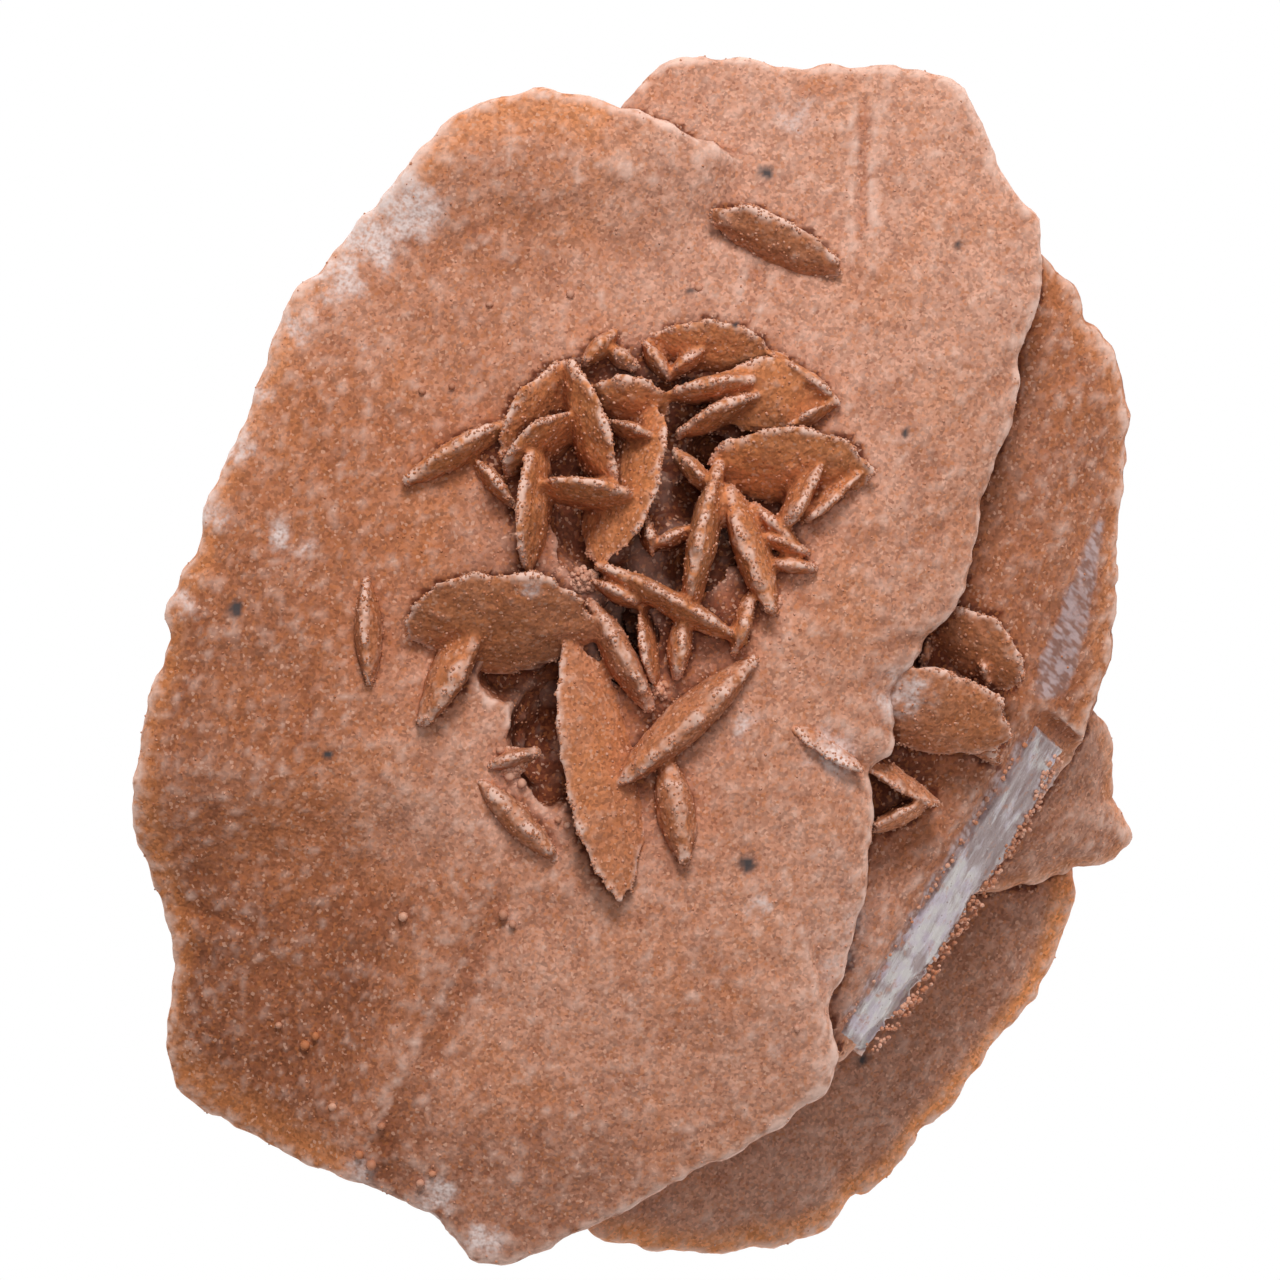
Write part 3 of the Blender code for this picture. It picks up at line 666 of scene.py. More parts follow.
def dust_and_shading_at(places):
    """Where pale dusting lies, partly real and partly painted light and shade: thick on the right plate
    and the lowest ones, thin on the left plate, with the right plate's lower right painted lighter and
    the left plate's lower part darker.
    """
    x, y, z = places.T
    s = left_of_crease(x, y)
    dust_and_shading = 0.66 - 0.62 * smooth((s - 3.0) / 14.0)
    # Painted light: the right plate's lower right is lighter
    dust_and_shading = dust_and_shading + 0.45 * smooth((x - 8.0) / 10.0) * smooth((-6.0 - y) / 12.0)
    dust_and_shading = dust_and_shading + 0.32 * smooth((y - 12.0) / 16.0)
    dust_and_shading = dust_and_shading + 0.25 * np.exp(-((x + 18.0) / 7.0) ** 2 - ((y + 9.5) / 4.5) ** 2)
    # Painted shade: the left plate's lower part is darker
    dust_and_shading = dust_and_shading - 0.45 * smooth((-10.0 - y) / 10.0) * smooth((s + 4.0) / 6.0)
    on_shelf, below = lower_masks(places)
    dust_and_shading = dust_and_shading + (0.25 - dust_and_shading) * on_shelf
    dust_and_shading = dust_and_shading + (1.0 - dust_and_shading) * below
    blotch = noise_at(places, ((7.0, 0.26), (2.6, 0.16)))
    return dust_and_shading + blotch


def shade_and_blotch_at(places):
    """Painted shade, with random brown blotches: darker on the left plate's outer and lower parts, low
    along the crease, over the shelf, and most beside the right plate's rim.
    """
    x, y, z = places.T
    s = left_of_crease(x, y)
    # Painted shade where the left plate turns from the light, and low down
    shade_and_blotch = 0.44 * smooth((s - 12.0) / 14.0) * smooth((12.0 - y) / 12.0)
    shade_and_blotch = shade_and_blotch + 0.60 * smooth((-13.0 - y) / 8.0) * smooth((s - 1.0) / 5.0)
    shade_and_blotch = shade_and_blotch + 0.45 * smooth((-31.0 - y) / 6.0) * smooth((4.0 - x) / 8.0) * smooth(2.0 - s)
    on_shelf, below = lower_masks(places)
    # Painted shade low along the crease
    shade_and_blotch = shade_and_blotch + 0.30 * np.exp(-((s + 0.5) / 2.2) ** 2) * smooth((-14.0 - y) / 6.0)
    # Painted shadow on the shelf beside the right plate's rim
    beside = 1.0 - smooth((share_of_reach(PLATES["right"], x, y) - 1.0) / 0.16)
    shade_and_blotch = shade_and_blotch * (1.0 - np.maximum(on_shelf, below)) + (0.28 + 0.35 * beside) * on_shelf + 0.04 * below
    blotch = noise_at(places, ((4.5, 0.22), (1.7, 0.14)))
    return shade_and_blotch * (1.0 + 2.0 * blotch) + 0.25 * np.maximum(0.0, blotch - 0.12)


def rim_glow_at(places, rims):
    """Painted glow: how amber the rims of the named plates are painted, for light shining through the
    thin gypsum, and nought a few millimetres inside them.
    """
    x, y, z = places.T
    total = np.zeros(len(places))
    for name, strength in rims:
        plate = PLATES[name]
        share = share_of_reach(plate, x, y)
        level = top_face(plate, x, y, 1.0) - 0.5 * plate["thick"][1]
        rim = strength * smooth((share - 0.90) / 0.08) * (np.abs(z - level) < 2.4) * (share < 1.08)
        if name == "left":
            rim = rim * smooth((share_of_reach(PLATES["right"], x, y) - 1.0) / 0.03)
        total = np.maximum(total, rim)
    return total


def on_cleavage(places):
    """Places as seen from the broken edge: along it, down it, and out of it."""
    inwards = cleavage_place().inverted()
    return np.array([inwards @ Vector(p) for p in places])


def cleaved_at(places):
    """One on the clean broken face of the shelf, and nought elsewhere."""
    flat = on_cleavage(places)
    on_plane = 1.0 - smooth((np.abs(flat[:, 2]) - 0.3) / 0.3)
    along = 1.0 - smooth((np.abs(flat[:, 0]) - 0.48 * CLEAVAGE_LENGTH) / 1.0)
    across = 1.0 - smooth((np.abs(flat[:, 1] - 2.4) - 2.4) / 1.0)
    return on_plane * along * across


def pearly_at(places):
    """The striated pearly patch beside the shelf's rim, fading at its edges."""
    grow = PLATES["shelf"]["grow"]
    x = EYE[0] + (places[:, 0] - EYE[0]) / grow
    y = EYE[1] + (places[:, 1] - EYE[1]) / grow
    inside = smooth((x - np.interp(y, PATCH_Y, PATCH_LEFT)) / 0.9)
    inside = inside * smooth((np.interp(y, PATCH_Y, PATCH_RIGHT) - x) / 0.9)
    inside = inside * smooth((y - PATCH_Y[0]) / 1.0) * smooth((PATCH_Y[-1] - y) / 2.0)
    flat = on_cleavage(places)
    edge = 1.0 - smooth((np.abs(flat[:, 2]) - 0.4) / 1.4)
    edge = edge * (1.0 - smooth((np.abs(flat[:, 0]) - 12.0) / 2.0))
    edge = edge * (1.0 - smooth((np.abs(flat[:, 1] - 2.4) - 2.8) / 1.4))
    return np.maximum(inside * (places[:, 2] > 18.0), 0.75 * edge)


def finish_skin(obj, maps, rims, dust_and_shading_share, sharp, amber, material):
    """Work out what the material needs to know at every vertex, and dress the skin.

    The first number scales the dusting with its painted light and shade. amber is how much painted amber
    glow, for light shining through thin gypsum, the whole skin gets. sharp is above one on the small
    blades, whose pale crests, worn and partly painted highlight, are wider bands and whose painted shade
    in hollows is lighter.
    """
    places, normals = points_of(obj.data)
    proud = convexity(obj, BLADE_ROUNDS if sharp > 1.0 else PLATE_ROUNDS)
    upper, lower = (sky_share(places, heights, side) for heights, side in zip(maps, (1.0, -1.0)))
    facing_up = smooth((normals[:, 2] + 0.35) / 0.5)
    worn = patches(places, ((0.9, 0.7), (0.5, 0.5)), -0.45, 0.10)
    # Pale worn crests, partly a painted highlight
    store(obj, "wear_and_highlight", worn * (proud - 0.03 * (sharp > 1.0)) / RELIEF_DEPTH)
    store(obj, "rust", 0.25 * patches(places, ((6.0, 0.8), (3.0, 0.4)), 0.0, 0.5))
    store(obj, "brown", 0.25 * patches(places + 40.0, ((2.4, 0.8), (1.2, 0.5)), 0.0, 0.5))
    # Painted shade in creases, where the skin sinks below its smoothed self
    store(obj, "crease_shade", -proud / RELIEF_DEPTH)
    # How much sky each point sees; the material paints shade where it sees little
    store(obj, "open", (lower + (upper - lower) * facing_up) ** (1.0 / sharp))
    # Dusting, partly painted light and shade
    store(obj, "dust_and_shading", dust_and_shading_share * dust_and_shading_at(places) * facing_up)
    store(obj, "frost", frost_at(places) * facing_up)
    # Painted shade, with random blotches
    store(obj, "shade_and_blotch", shade_and_blotch_at(places) * facing_up)
    store(obj, "speck", specks_at(places) * facing_up)
    # Painted amber glow, for light shining through thin rims and thin blades
    store(obj, "rim", np.maximum(amber, rim_glow_at(places, rims)))
    pearly = pearly_at(places)
    ragged = smooth(1.6 * pearly - 0.9 * patches(places, ((1.3, 0.8), (0.7, 0.5)), -0.5, 0.5))
    store(obj, "pearly", 0.8 * ragged * smooth(4.0 * pearly) * facing_up)
    obj.data.shade_smooth()
    obj.data.materials.clear()
    obj.data.materials.append(material)
    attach(obj, BODY)


def scatter(skins, count, weight, rng):
    """Random vertices of some skins, as places and normals, likelier where the weight is greater."""
    places, normals, weights = [], [], []
    for skin in skins:
        p, n = points_of(skin.data)
        places.append(p)
        normals.append(n)
        weights.append(weight(skin, p, n))
    places, normals, weights = np.concatenate(places), np.concatenate(normals), np.concatenate(weights)
    picked = rng.choice(len(places), size=count, replace=False, p=weights / weights.sum())
    return places[picked], normals[picked]


def make_grains(name, places, normals, radii, sunk, fineness, dust_and_shading_share, rng, material):
    """Separate sand grains, each a small uneven ball sunk a share of its radius into the surface."""
    ball = bmesh.new()
    bmesh.ops.create_icosphere(ball, subdivisions=fineness, radius=1.0)
    shape = np.array([v.co[:] for v in ball.verts])
    faces = np.array([[v.index for v in f.verts] for f in ball.faces])
    ball.free()
    count = len(places)
    stretch = rng.uniform(0.82, 1.18, (count, 1, 3))
    bumps = rng.uniform(0.90, 1.10, (count, len(shape), 1))
    centres = places + normals * (radii * (1.0 - sunk))[:, None]
    verts = centres[:, None, :] + shape[None] * stretch * bumps * radii[:, None, None]
    verts = verts.reshape(-1, 3) * MM
    verts[:, 2] = np.maximum(verts[:, 2], 0.0)
    index = faces[None] + (np.arange(count) * len(shape))[:, None, None]
    mesh = bpy.data.meshes.new(name)
    mesh.from_pydata(verts.tolist(), [], index.reshape(-1, 3).tolist())
    obj = add_object(name, mesh)
    store(obj, "tint", np.repeat(rng.uniform(0.0, 1.0, count), len(shape)))
    # Dusting, partly painted light and shade
    store(obj, "dust_and_shading", np.repeat(dust_and_shading_share * dust_and_shading_at(places), len(shape)))
    mesh.shade_smooth()
    mesh.materials.append(material)
    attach(obj, BODY)
    return obj


def attribute_of(skin, name):
    """The stored numbers of a skin."""
    values = np.empty(len(skin.data.vertices), dtype=np.float32)
    skin.data.attributes[name].data.foreach_get("value", values)
    return values


def sheet(top, bottom):
    """Vertices and faces of a closed thin sheet between two grids of points."""
    rows, columns = top.shape[:2]
    verts = np.concatenate([top.reshape(-1, 3), bottom.reshape(-1, 3)])
    under = rows * columns
    faces = []
    for i in range(rows - 1):
        for j in range(columns - 1):
            a, b = i * columns + j, (i + 1) * columns + j
            faces.append((a, b, b + 1, a + 1))
            faces.append((under + a, under + a + 1, under + b + 1, under + b))
    border = [j for j in range(columns)] + [i * columns + columns - 1 for i in range(1, rows)]
    border += [(rows - 1) * columns + j for j in range(columns - 2, -1, -1)]
    border += [i * columns for i in range(rows - 2, 0, -1)]
    for a, b in zip(border, border[1:] + border[:1]):
        faces.append((a, b, under + b, under + a))
    return verts, faces


def make_cleaved(lower, material):
    """The glossy strip of the shelf's broken edge, laid on its rough skin."""
    skin = bmesh.new()
    skin.from_mesh(lower.data)
    tree = BVHTree.FromBMesh(skin)
    skin.free()
    place = cleavage_place()
    outward = place.to_3x3() @ Vector((0.0, 0.0, 1.0))
    (start, end), (high, low) = STRIP
    strip_top = np.zeros((STRIP_ROWS, STRIP_COLUMNS, 3))
    strip_bottom = np.zeros((STRIP_ROWS, STRIP_COLUMNS, 3))
    last_row, last_column = STRIP_ROWS - 1, STRIP_COLUMNS - 1
    for i in range(STRIP_ROWS):
        along = start + (end - start) * i / last_row
        upper = high + 0.5 * noise.noise(Vector((along / 1.2, 3.0, 0.0)))
        upper += 0.3 * noise.noise(Vector((along / 0.5, 1.0, 0.0)))
        lower_edge = low + 1.0 * noise.noise(Vector((along / 1.6, 9.0, 0.0)))
        lower_edge += 0.4 * noise.noise(Vector((along / 0.6, 5.0, 0.0)))
        lower_edge -= 1.4 * smooth((abs(along) - 8.0) / 5.0)
        for j in range(STRIP_COLUMNS):
            down = upper + (lower_edge - upper) * j / last_column
            border = 0.17 * min(i, last_row - i, j, last_column - j)
            sink = 0.45 * (1.0 - smooth(border / 0.5))
            point = place @ Vector((along, down, 2.0))
            hit = tree.ray_cast(point * MM, -outward, 4.0 * MM)[0]
            level = (place.inverted() @ (hit / MM)).z if hit is not None else -0.5
            steps = 0.10 * noise.noise(Vector((along / 6.0, down / 0.35, 1.0)))
            at = max(level, -0.6) + 0.14 + steps - sink
            strip_top[i, j] = place @ Vector((along, down, at))
            strip_bottom[i, j] = place @ Vector((along, down, at - 0.7))
    verts, faces = sheet(strip_top, strip_bottom)
    mesh = bpy.data.meshes.new("cleaved_strip")
    mesh.from_pydata((verts * MM).tolist(), [], faces)
    obj = add_object("cleaved_strip", mesh)
    flat = on_cleavage(verts)
    pearl = np.zeros(len(verts))
    for middle, half, strength in PEARL:
        beyond = np.abs(flat[:, 0] - middle) - half
        pearl = np.maximum(pearl, strength * (1.0 - smooth(beyond / 1.8)))
    store(obj, "pearl", pearl * (1.0 - 0.55 * smooth((np.abs(flat[:, 1] - 2.6) - 1.2) / 1.6)))
    rows, columns = np.arange(STRIP_ROWS)[:, None], np.arange(STRIP_COLUMNS)[None, :]
    from_ends, from_sides = np.minimum(rows, last_row - rows), np.minimum(columns, last_column - columns)
    inside = np.minimum(from_ends * 0.19, from_sides * 0.20)
    store(obj, "inside", np.tile(inside.ravel() / 0.9, 2))
    mesh.shade_smooth()
    mesh.materials.append(material)
    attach(obj, BODY)


class Nodes:
    """A small helper to build a material's node tree."""

    def __init__(self, name):
        self.material = bpy.data.materials.new(name)
        self.material.use_nodes = True
        self.tree = self.material.node_tree
        self.shader = self.tree.nodes["Principled BSDF"]
        self.place = self.add("ShaderNodeTexCoord").outputs["Object"]

    def add(self, kind, sockets=(), **settings):
        node = self.tree.nodes.new(kind)
        for key, value in settings.items():
            setattr(node, key, value)
        self.feed(node, sockets)
        return node

    def feed(self, node, sockets):
        """Link each named socket of a node to an output, or give it a number, vector or colour."""
        for name, source in sockets:
            socket = node.inputs[name]
            if isinstance(source, bpy.types.NodeSocket):
                self.tree.links.new(source, socket)
            elif socket.type == "RGBA":
                socket.default_value = (*source, 1.0)
            else:
                socket.default_value = source

    def noise(self, wavelength, detail=2.0, roughness=0.5, place=None):
        sockets = (("Vector", place or self.place), ("Scale", 1.0 / (wavelength * MM)),
                   ("Detail", detail), ("Roughness", roughness))
        return self.add("ShaderNodeTexNoise", sockets).outputs["Fac"]

    def cells(self, size, output="Color"):
        sockets = (("Vector", self.place), ("Scale", 1.0 / (size * MM)))
        return self.add("ShaderNodeTexVoronoi", sockets).outputs[output]

    def drawn_out(self, turn, stretch):
        """Coordinates turned about Z, along whose X everything is longer."""
        place = self.place
        turned = "Rotation", (0.0, 0.0, math.radians(turn))
        for name, value in (turned, ("Scale", (1.0 / stretch, 1.0, 1.0))):
            place = self.add("ShaderNodeMapping", (("Vector", place), (name, value))).outputs["Vector"]
        return place

    def attribute(self, name):
        return self.add("ShaderNodeAttribute", attribute_name=name).outputs["Fac"]

    def ramp(self, value, low, high, to_low=0.0, to_high=1.0):
        sockets = (("Value", value), ("From Min", low), ("From Max", high),
                   ("To Min", to_low), ("To Max", to_high))
        return self.add("ShaderNodeMapRange", sockets, clamp=True).outputs["Result"]

    def mix(self, factor, first, second, blend="MIX"):
        sockets = ((0, factor), (6, first), (7, second))
        return self.add("ShaderNodeMix", sockets, data_type="RGBA", blend_type=blend).outputs[2]

    def math(self, operation, first, second=0.0):
        sockets = ((0, first), (1, second))
        return self.add("ShaderNodeMath", sockets, operation=operation).outputs[0]

    def bump(self, height, strength, distance, normal=None):
        sockets = [("Height", height), ("Strength", strength), ("Distance", distance * MM)]
        if normal is not None:
            sockets.append(("Normal", normal))
        return self.add("ShaderNodeBump", sockets).outputs["Normal"]


# Colours of the crust, in linear light
DUSTY = (0.615, 0.312, 0.216)
BARE = (0.455, 0.163, 0.076)
# Dark brown of random patches and grains, also painted shade in hollows and creases
DARK_BROWN_AND_SHADE = (0.26, 0.066, 0.026)
# Painted shade deep in pits
PIT_SHADE = (0.11, 0.022, 0.009)
RUST = (0.60, 0.200, 0.065)
# Painted glow of light shining through thin gypsum
AMBER_GLOW = (0.92, 0.330, 0.100)
PALE = (0.86, 0.50, 0.36)
FROST_WHITE = (0.86, 0.70, 0.66)
# Pale of worn crests, partly a painted highlight
CREST = (0.88, 0.60, 0.50)
# Painted shade
SHADE_BROWN = (0.22, 0.070, 0.032)
SPECK_GREY = (0.075, 0.06, 0.06)
PEARL_DARK = (0.29, 0.165, 0.140)
PEARL_LIGHT = (0.54, 0.42, 0.43)
# Colours of the cleaved gypsum
MAUVE_DEEP = (0.20, 0.125, 0.125)
MAUVE_DARK = (0.27, 0.165, 0.155)
MAUVE_LIGHT = (0.39, 0.275, 0.27)
PEARL_LILAC = (0.56, 0.46, 0.53)
PEARL_WHITE = (0.64, 0.58, 0.56)
PEARL_FLECK = (0.66, 0.60, 0.58)
SAND_DOT = (0.17, 0.075, 0.045)


def grain_colours(n, colour, size, contrast):
    """Give every grain its own shade: most near the colour, some rusty, some pale, some dark."""
    shade = n.add("ShaderNodeSeparateColor", [("Color", n.cells(size))])
    red, green, blue = shade.outputs
    dark, light = 1.0 - contrast, 1.0 + 0.85 * contrast
    colour = n.mix(1.0, colour, n.mix(red, (dark, dark, dark), (light, light, light)), "MULTIPLY")
    colour = n.mix(n.math("MULTIPLY", n.ramp(green, 0.70, 1.0), 0.45), colour, RUST)
    colour = n.mix(n.math("MULTIPLY", n.ramp(green, 0.10, 0.0), 0.45), colour, DARK_BROWN_AND_SHADE)
    return n.mix(n.math("MULTIPLY", n.ramp(blue, 0.90, 1.0), 0.50), colour, PALE)


def crust_material():
    """Sandy gypsum: brown and orange grains, pale dusting, white frost; painted shade in hollows, creases
    and on parts turned from the light, painted highlight on crests, painted amber glow at rims.
    """
    n = Nodes("sand_crust")
    # Dusting, partly painted light and shade
    dust_and_shading = n.math("ADD", n.attribute("dust_and_shading"), n.ramp(n.noise(1.1, 2.0, 0.65), 0.30, 0.70, -0.18, 0.18))
    colour = n.mix(n.ramp(dust_and_shading, 0.0, 1.0), BARE, DUSTY)
    colour = n.mix(n.attribute("rust"), colour, RUST)
    colour = n.mix(n.attribute("brown"), colour, DARK_BROWN_AND_SHADE)
    # Painted shade, with random blotches
    colour = n.mix(n.attribute("shade_and_blotch"), colour, SHADE_BROWN)
    # Painted amber glow at the rims
    colour = n.mix(n.math("MULTIPLY", n.attribute("rim"), 0.75), colour, AMBER_GLOW)
    # Painted shade: darker where less sky is open, darkest deep in pits
    hidden = n.attribute("open")
    colour = n.mix(n.math("MULTIPLY", n.ramp(hidden, 0.55, 0.20), 0.60), colour, DARK_BROWN_AND_SHADE)
    colour = n.mix(n.math("MULTIPLY", n.ramp(hidden, 0.32, 0.08), 0.90), colour, PIT_SHADE)
    # Painted shade in creases
    colour = n.mix(n.math("MULTIPLY", n.attribute("crease_shade"), 0.35), colour, DARK_BROWN_AND_SHADE)
    colour = grain_colours(n, colour, 0.22, 0.30)
    # Pale worn crests, partly a painted highlight that is stronger where the sky is open
    wear_and_highlight = n.math("MULTIPLY", n.attribute("wear_and_highlight"), n.ramp(hidden, 0.25, 0.7, 0.15, 0.85))
    colour = n.mix(wear_and_highlight, colour, CREST)
    stripes = n.noise(0.45, 1.0, 0.6, n.drawn_out(40.0, 6.0))
    pearly = n.attribute("pearly")
    colour = n.mix(pearly, colour, n.mix(n.ramp(stripes, 0.42, 0.60), PEARL_DARK, PEARL_LIGHT))
    powder = n.ramp(n.noise(0.35, 1.0, 0.7), 0.30, 0.60, 0.30, 0.95)
    frost = n.math("MULTIPLY", n.attribute("frost"), powder)
    colour = n.mix(frost, colour, FROST_WHITE)
    colour = n.mix(n.attribute("speck"), colour, SPECK_GREY)
    normal = n.bump(n.noise(0.50, 1.0, 0.70), 0.45, 0.20)
    normal = n.bump(n.cells(0.25, "Distance"), -0.65, 0.11, normal)
    roughness = n.ramp(pearly, 0.0, 0.8, 0.85, 0.45)
    n.feed(n.shader, (("Base Color", colour), ("Normal", normal), ("Roughness", roughness),
                      ("Specular IOR Level", 0.20)))
    return n.material


def grain_material():
    """Loose quartz and gypsum grains: amber to pale, a little glassy."""
    n = Nodes("sand_grains")
    tint = n.attribute("tint")
    # Dusting, partly painted light and shade
    colour = n.mix(n.ramp(n.attribute("dust_and_shading"), 0.0, 1.0), BARE, DUSTY)
    colour = n.mix(n.ramp(tint, 0.40, 0.0, 0.0, 0.45), colour, RUST)
    colour = n.mix(n.ramp(tint, 0.55, 1.0, 0.0, 0.6), colour, PALE)
    roughness = n.ramp(tint, 0.0, 1.0, 0.70, 0.45)
    n.feed(n.shader, (("Base Color", colour), ("Roughness", roughness), ("Specular IOR Level", 0.35)))
    return n.material


def selenite_material():
    """Clean cleaved gypsum: smooth, grey-mauve, pearly white where the layers split, striped along."""
    n = Nodes("selenite")
    stripes = n.drawn_out(-57.0, 3.5)
    bands = n.ramp(n.noise(0.8, 4.0, 0.6, stripes), 0.35, 0.65)
    colour = n.mix(bands, MAUVE_DARK, MAUVE_LIGHT)
    colour = n.mix(n.ramp(n.noise(1.7, 3.0, 0.6), 0.55, 0.70, 0.0, 0.6), colour, MAUVE_DEEP)
    hues = n.mix(n.ramp(n.noise(1.3, 2.0), 0.40, 0.60), PEARL_LILAC, PEARL_WHITE)
    streaks = n.ramp(n.noise(0.9, 4.0, 0.65, stripes), 0.30, 0.70, -0.75, 0.35)
    shine = n.math("ADD", n.attribute("pearl"), streaks)
    colour = n.mix(n.ramp(shine, 0.10, 0.50), colour, hues)
    colour = n.mix(n.ramp(n.noise(0.45, 3.0, 0.6), 0.66, 0.72), colour, PEARL_FLECK)
    colour = n.mix(n.ramp(n.noise(1.1, 4.0, 0.7), 0.56, 0.68, 0.0, 0.7), colour, BARE)
    sandy = n.math("ADD", n.attribute("inside"), n.ramp(n.noise(0.9, 4.0, 0.65), 0.30, 0.70, -0.45, 0.45))
    sand = n.mix(n.ramp(n.noise(0.3, 3.0), 0.35, 0.65), BARE, DUSTY)
    colour = n.mix(n.ramp(sandy, 0.50, 0.15), colour, sand)
    dots = n.ramp(n.cells(0.55, "Distance"), 0.16, 0.09)
    colour = n.mix(n.math("MULTIPLY", dots, 0.7), colour, SAND_DOT)
    normal = n.bump(n.noise(0.5, 5.0, 0.6, stripes), 0.5, 0.12)
    normal = n.bump(n.noise(0.25, 3.0, 0.6), 0.25, 0.05, normal)
    roughness = n.ramp(n.noise(0.6, 3.0), 0.3, 0.7, 0.22, 0.50)
    n.feed(n.shader, (
        ("Base Color", colour), ("Normal", normal), ("Roughness", roughness), ("Specular IOR Level", 0.6),
        ("Coat Weight", 0.35), ("Coat Roughness", 0.15), ("Subsurface Weight", 0.10),
        ("Subsurface Radius", (1.0, 0.8, 0.7)), ("Subsurface Scale", 0.6 * MM),
    ))
    return n.material


def make_camera():
    """A long lens straight above the broad plates, as in the photograph."""
    data = bpy.data.cameras.new("camera")
    data.sensor_width = 36.0
    data.lens = LENS
    data.clip_start = 0.01
    data.clip_end = 10.0
    camera = add_object("camera", data)
    camera.location = (EYE[0] * MM, EYE[1] * MM, CAMERA_HEIGHT)
    bpy.context.scene.camera = camera


def area_light(name, place, target, size, power, colour):
    """A soft square light that shines at a point."""
    data = bpy.data.lights.new(name, "AREA")
    data.shape = "SQUARE"
    data.size = size
    data.energy = power
    data.color = colour
    light = add_object(name, data)
    light.location = place
    light.rotation_euler = (Vector(target) - Vector(place)).to_track_quat("-Z", "Y").to_euler()


def make_light():
    """Soft key from beyond the far rim, a wide weak fill, and a white room."""
    centre = (0.0, 0.0, 0.03)
    area_light("key", (0.03, 0.52, 0.60), centre, 0.22, 4.3, (1.0, 0.99, 0.975))
    area_light("top", (0.10, 0.00, 0.95), centre, 0.40, 2.5, (1.0, 1.0, 1.0))
    world = bpy.data.worlds.new("room")
    bpy.context.scene.world = world
    world.use_nodes = True
    nodes, links = world.node_tree.nodes, world.node_tree.links
    room = nodes["Background"]
    room.inputs["Color"].default_value = (1.0, 1.0, 1.0, 1.0)
    path = nodes.new("ShaderNodeLightPath")
    strength = nodes.new("ShaderNodeMapRange")
    links.new(path.outputs["Is Camera Ray"], strength.inputs["Value"])
    strength.inputs["To Min"].default_value = 0.09
    strength.inputs["To Max"].default_value = 1.0
    links.new(strength.outputs["Result"], room.inputs["Strength"])


def make_floor():
    """A broad white sheet that glows a little, as on a light table."""
    bm = bmesh.new()
    bmesh.ops.create_grid(bm, x_segments=1, y_segments=1, size=1.5)
    mesh = mesh_of(bm, "floor")
    floor = add_object("floor", mesh)
    floor.location.z = -0.0002
    n = Nodes("paper")
    tone = n.mix(n.noise(60.0), (0.90, 0.90, 0.90), (0.93, 0.93, 0.93))
    n.feed(n.shader, (("Base Color", tone), ("Roughness", 0.9), ("Emission Color", (1.0, 1.0, 1.0)),
                      ("Emission Strength", 0.90)))
    # The camera sees plain white paper instead
    camera_ray = n.add("ShaderNodeLightPath").outputs["Is Camera Ray"]
    white = n.add("ShaderNodeEmission").outputs["Emission"]
    seen = n.add("ShaderNodeMixShader", (("Fac", camera_ray), (1, n.shader.outputs["BSDF"]), (2, white)))
    n.feed(n.tree.nodes["Material Output"], [("Surface", seen.outputs["Shader"])])
    mesh.materials.append(n.material)


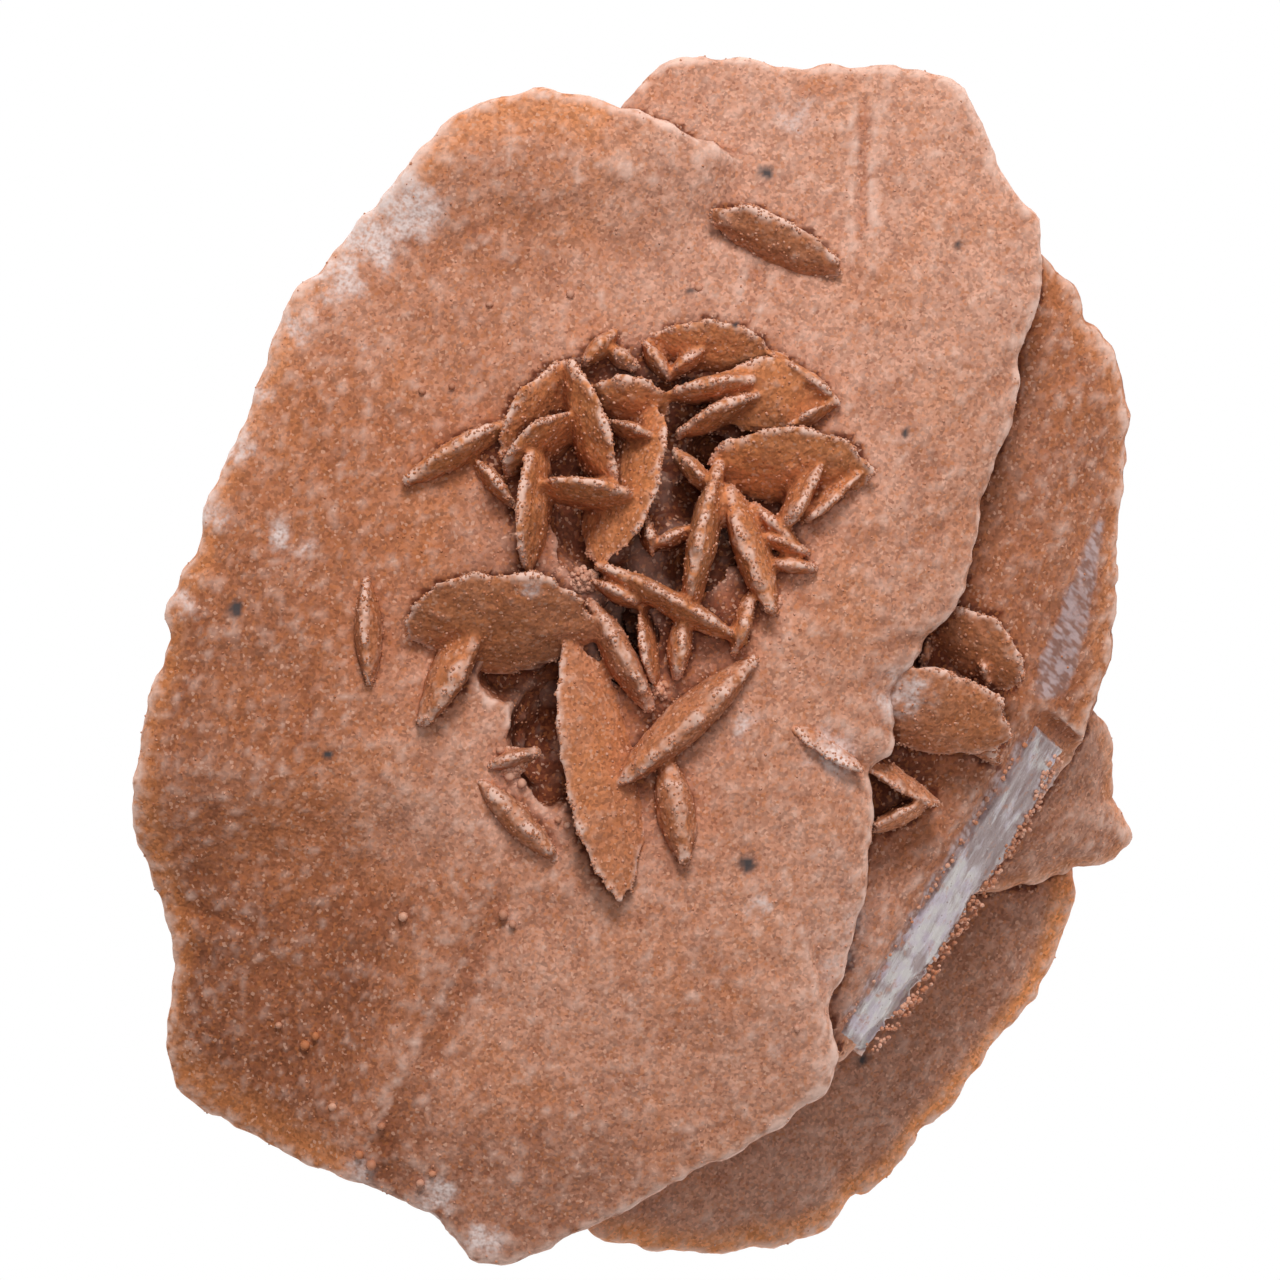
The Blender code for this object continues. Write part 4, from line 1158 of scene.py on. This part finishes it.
def main():
    bpy.context.scene.view_settings.view_transform = "Standard"
    make_camera()
    make_light()
    make_floor()

    solids = {name: make_plate(name, plate, i + 1) for i, (name, plate) in enumerate(PLATES.items())}
    hollows = []
    for number, (spot, depth, radii) in enumerate(HOLLOWS + [DENT]):
        hollows.append(make_lump(f"hollow_{number}", (*spot, ground(*spot) - depth), radii, 0.16))
    for name in ("left", "right"):
        for hollow in hollows:
            cut(solids[name], hollow)
    cutter = make_cleavage_cutter()
    cut(solids["shelf"], cutter)
    under = [make_underside(f"under_{i}", i, blade) for i, blade in enumerate(UNDERSIDE)]
    under.append(make_lump("core", *CORE, 0.05))
    small = [make_blade(f"small_{i}", i, blade) for i, blade in enumerate(CLUSTER + SIDE_GROUP)]

    broad = melt("broad_plates", [solids["left"], solids["right"]], BROAD_GRID)
    lower = melt("lower_plates", [solids["shelf"], solids["spur"], solids["foot"]], LOWER_GRID)
    below = melt("underside_blades", under, UNDER_GRID)
    rosette = melt("rosette_blades", small[:FIRST_VALLEY_BLADE], BLADE_GRID)
    valley = melt("valley_blades", small[FIRST_VALLEY_BLADE:], BLADE_GRID)
    discard(list(solids.values()) + hollows + [cutter] + under + small)

    roughen(broad, ((11.0, 0.40), (3.2, 0.18), (1.3, 0.10), (0.6, 0.07)), 1)
    plough(broad)
    roughen(lower, ((9.0, 0.40), (3.0, 0.18), (1.1, 0.10), (0.6, 0.07)), 2, cleaved_at)
    roughen(below, ((9.0, 0.9), (3.4, 0.3), (1.2, 0.12)), 3)
    for number, blades in enumerate((rosette, valley)):
        roughen(blades, ((2.4, 0.16), (0.9, 0.08), (0.45, 0.05)), 4 + number)

    skins = (broad, lower, below, rosette, valley)
    maps = height_map(skins, 1.0), height_map(skins, -1.0)
    crust = crust_material()
    finish_skin(broad, maps, (("left", 0.45),), 1.0, 1.0, 0.0, crust)
    finish_skin(lower, maps, (("foot", 1.0), ("spur", 0.4), ("shelf", 0.35)), 1.0, 0.8, 0.0, crust)
    finish_skin(below, maps, (), 0.6, 1.0, 0.0, crust)
    # The small blades get a painted amber glow all over, for light through their thin gypsum
    finish_skin(rosette, maps, (), 0.10, 1.8, 0.42, crust)
    finish_skin(valley, maps, (), 0.25, 1.4, 0.15, crust)
    make_cleaved(lower, selenite_material())

    rng = np.random.default_rng(11)
    grains = grain_material()

    def on_blades(skin, _, normals):
        return (0.12 + 2.2 * attribute_of(skin, "wear_and_highlight") ** 2) * (normals[:, 2] > -0.2)

    def on_plates(skin, places, normals):
        near = 1.0 + 7.0 * (1.0 - smooth((np.hypot(places[:, 0] - 1.0, places[:, 1] - 8.0) - 12.0) / 8.0))
        return near * (0.5 + attribute_of(skin, "wear_and_highlight")) * (normals[:, 2] > 0.1)

    places, normals = scatter((rosette, valley), BLADE_GRAINS, on_blades, rng)
    radii = rng.uniform(0.07, 0.14, BLADE_GRAINS)
    make_grains("blade_grains", places, normals, radii, 1.00, 1, 0.5, rng, grains)
    places, normals = scatter((broad, lower), PLATE_GRAINS, on_plates, rng)
    radii = rng.uniform(0.06, 0.12, PLATE_GRAINS)
    make_grains("plate_grains", places, normals, radii, 1.00, 1, 1.2, rng, grains)

    coarse = []
    for x, y, radius in COARSE:
        coarse.append((x, y, ground(x, y), radius))
    for (x, y), spread, count in SAND_LUMPS:
        for _ in range(count):
            turn, out = rng.uniform(0.0, TAU), spread * math.sqrt(rng.uniform(0.0, 1.0))
            height = (1.0 - out / spread) * 0.9 * spread
            at = x + out * math.cos(turn), y + out * math.sin(turn)
            coarse.append((*at, ground(*at) + rng.uniform(-0.3, height), rng.uniform(0.13, 0.24)))
    for _ in range(STRIP_GRAINS):
        along, edge = rng.uniform(-13.5, 13.0), rng.uniform(-0.35, 0.55)
        if rng.uniform() < 0.85:
            down = 5.3 - 1.2 * smooth((abs(along) - 8.0) / 5.0) + 1.6 * edge
        else:
            down = -0.3 + 0.6 * edge
        at = cleavage_place() @ Vector((along, down, rng.uniform(-0.15, 0.15)))
        coarse.append((*at, rng.uniform(0.09, 0.21)))
    coarse = np.array(coarse)
    up = np.tile((0.0, 0.0, 1.0), (len(coarse), 1))
    make_grains("coarse_grains", coarse[:, :3], up, coarse[:, 3], 0.45, 2, 1.3, rng, grains)
    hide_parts(NODE)


main()
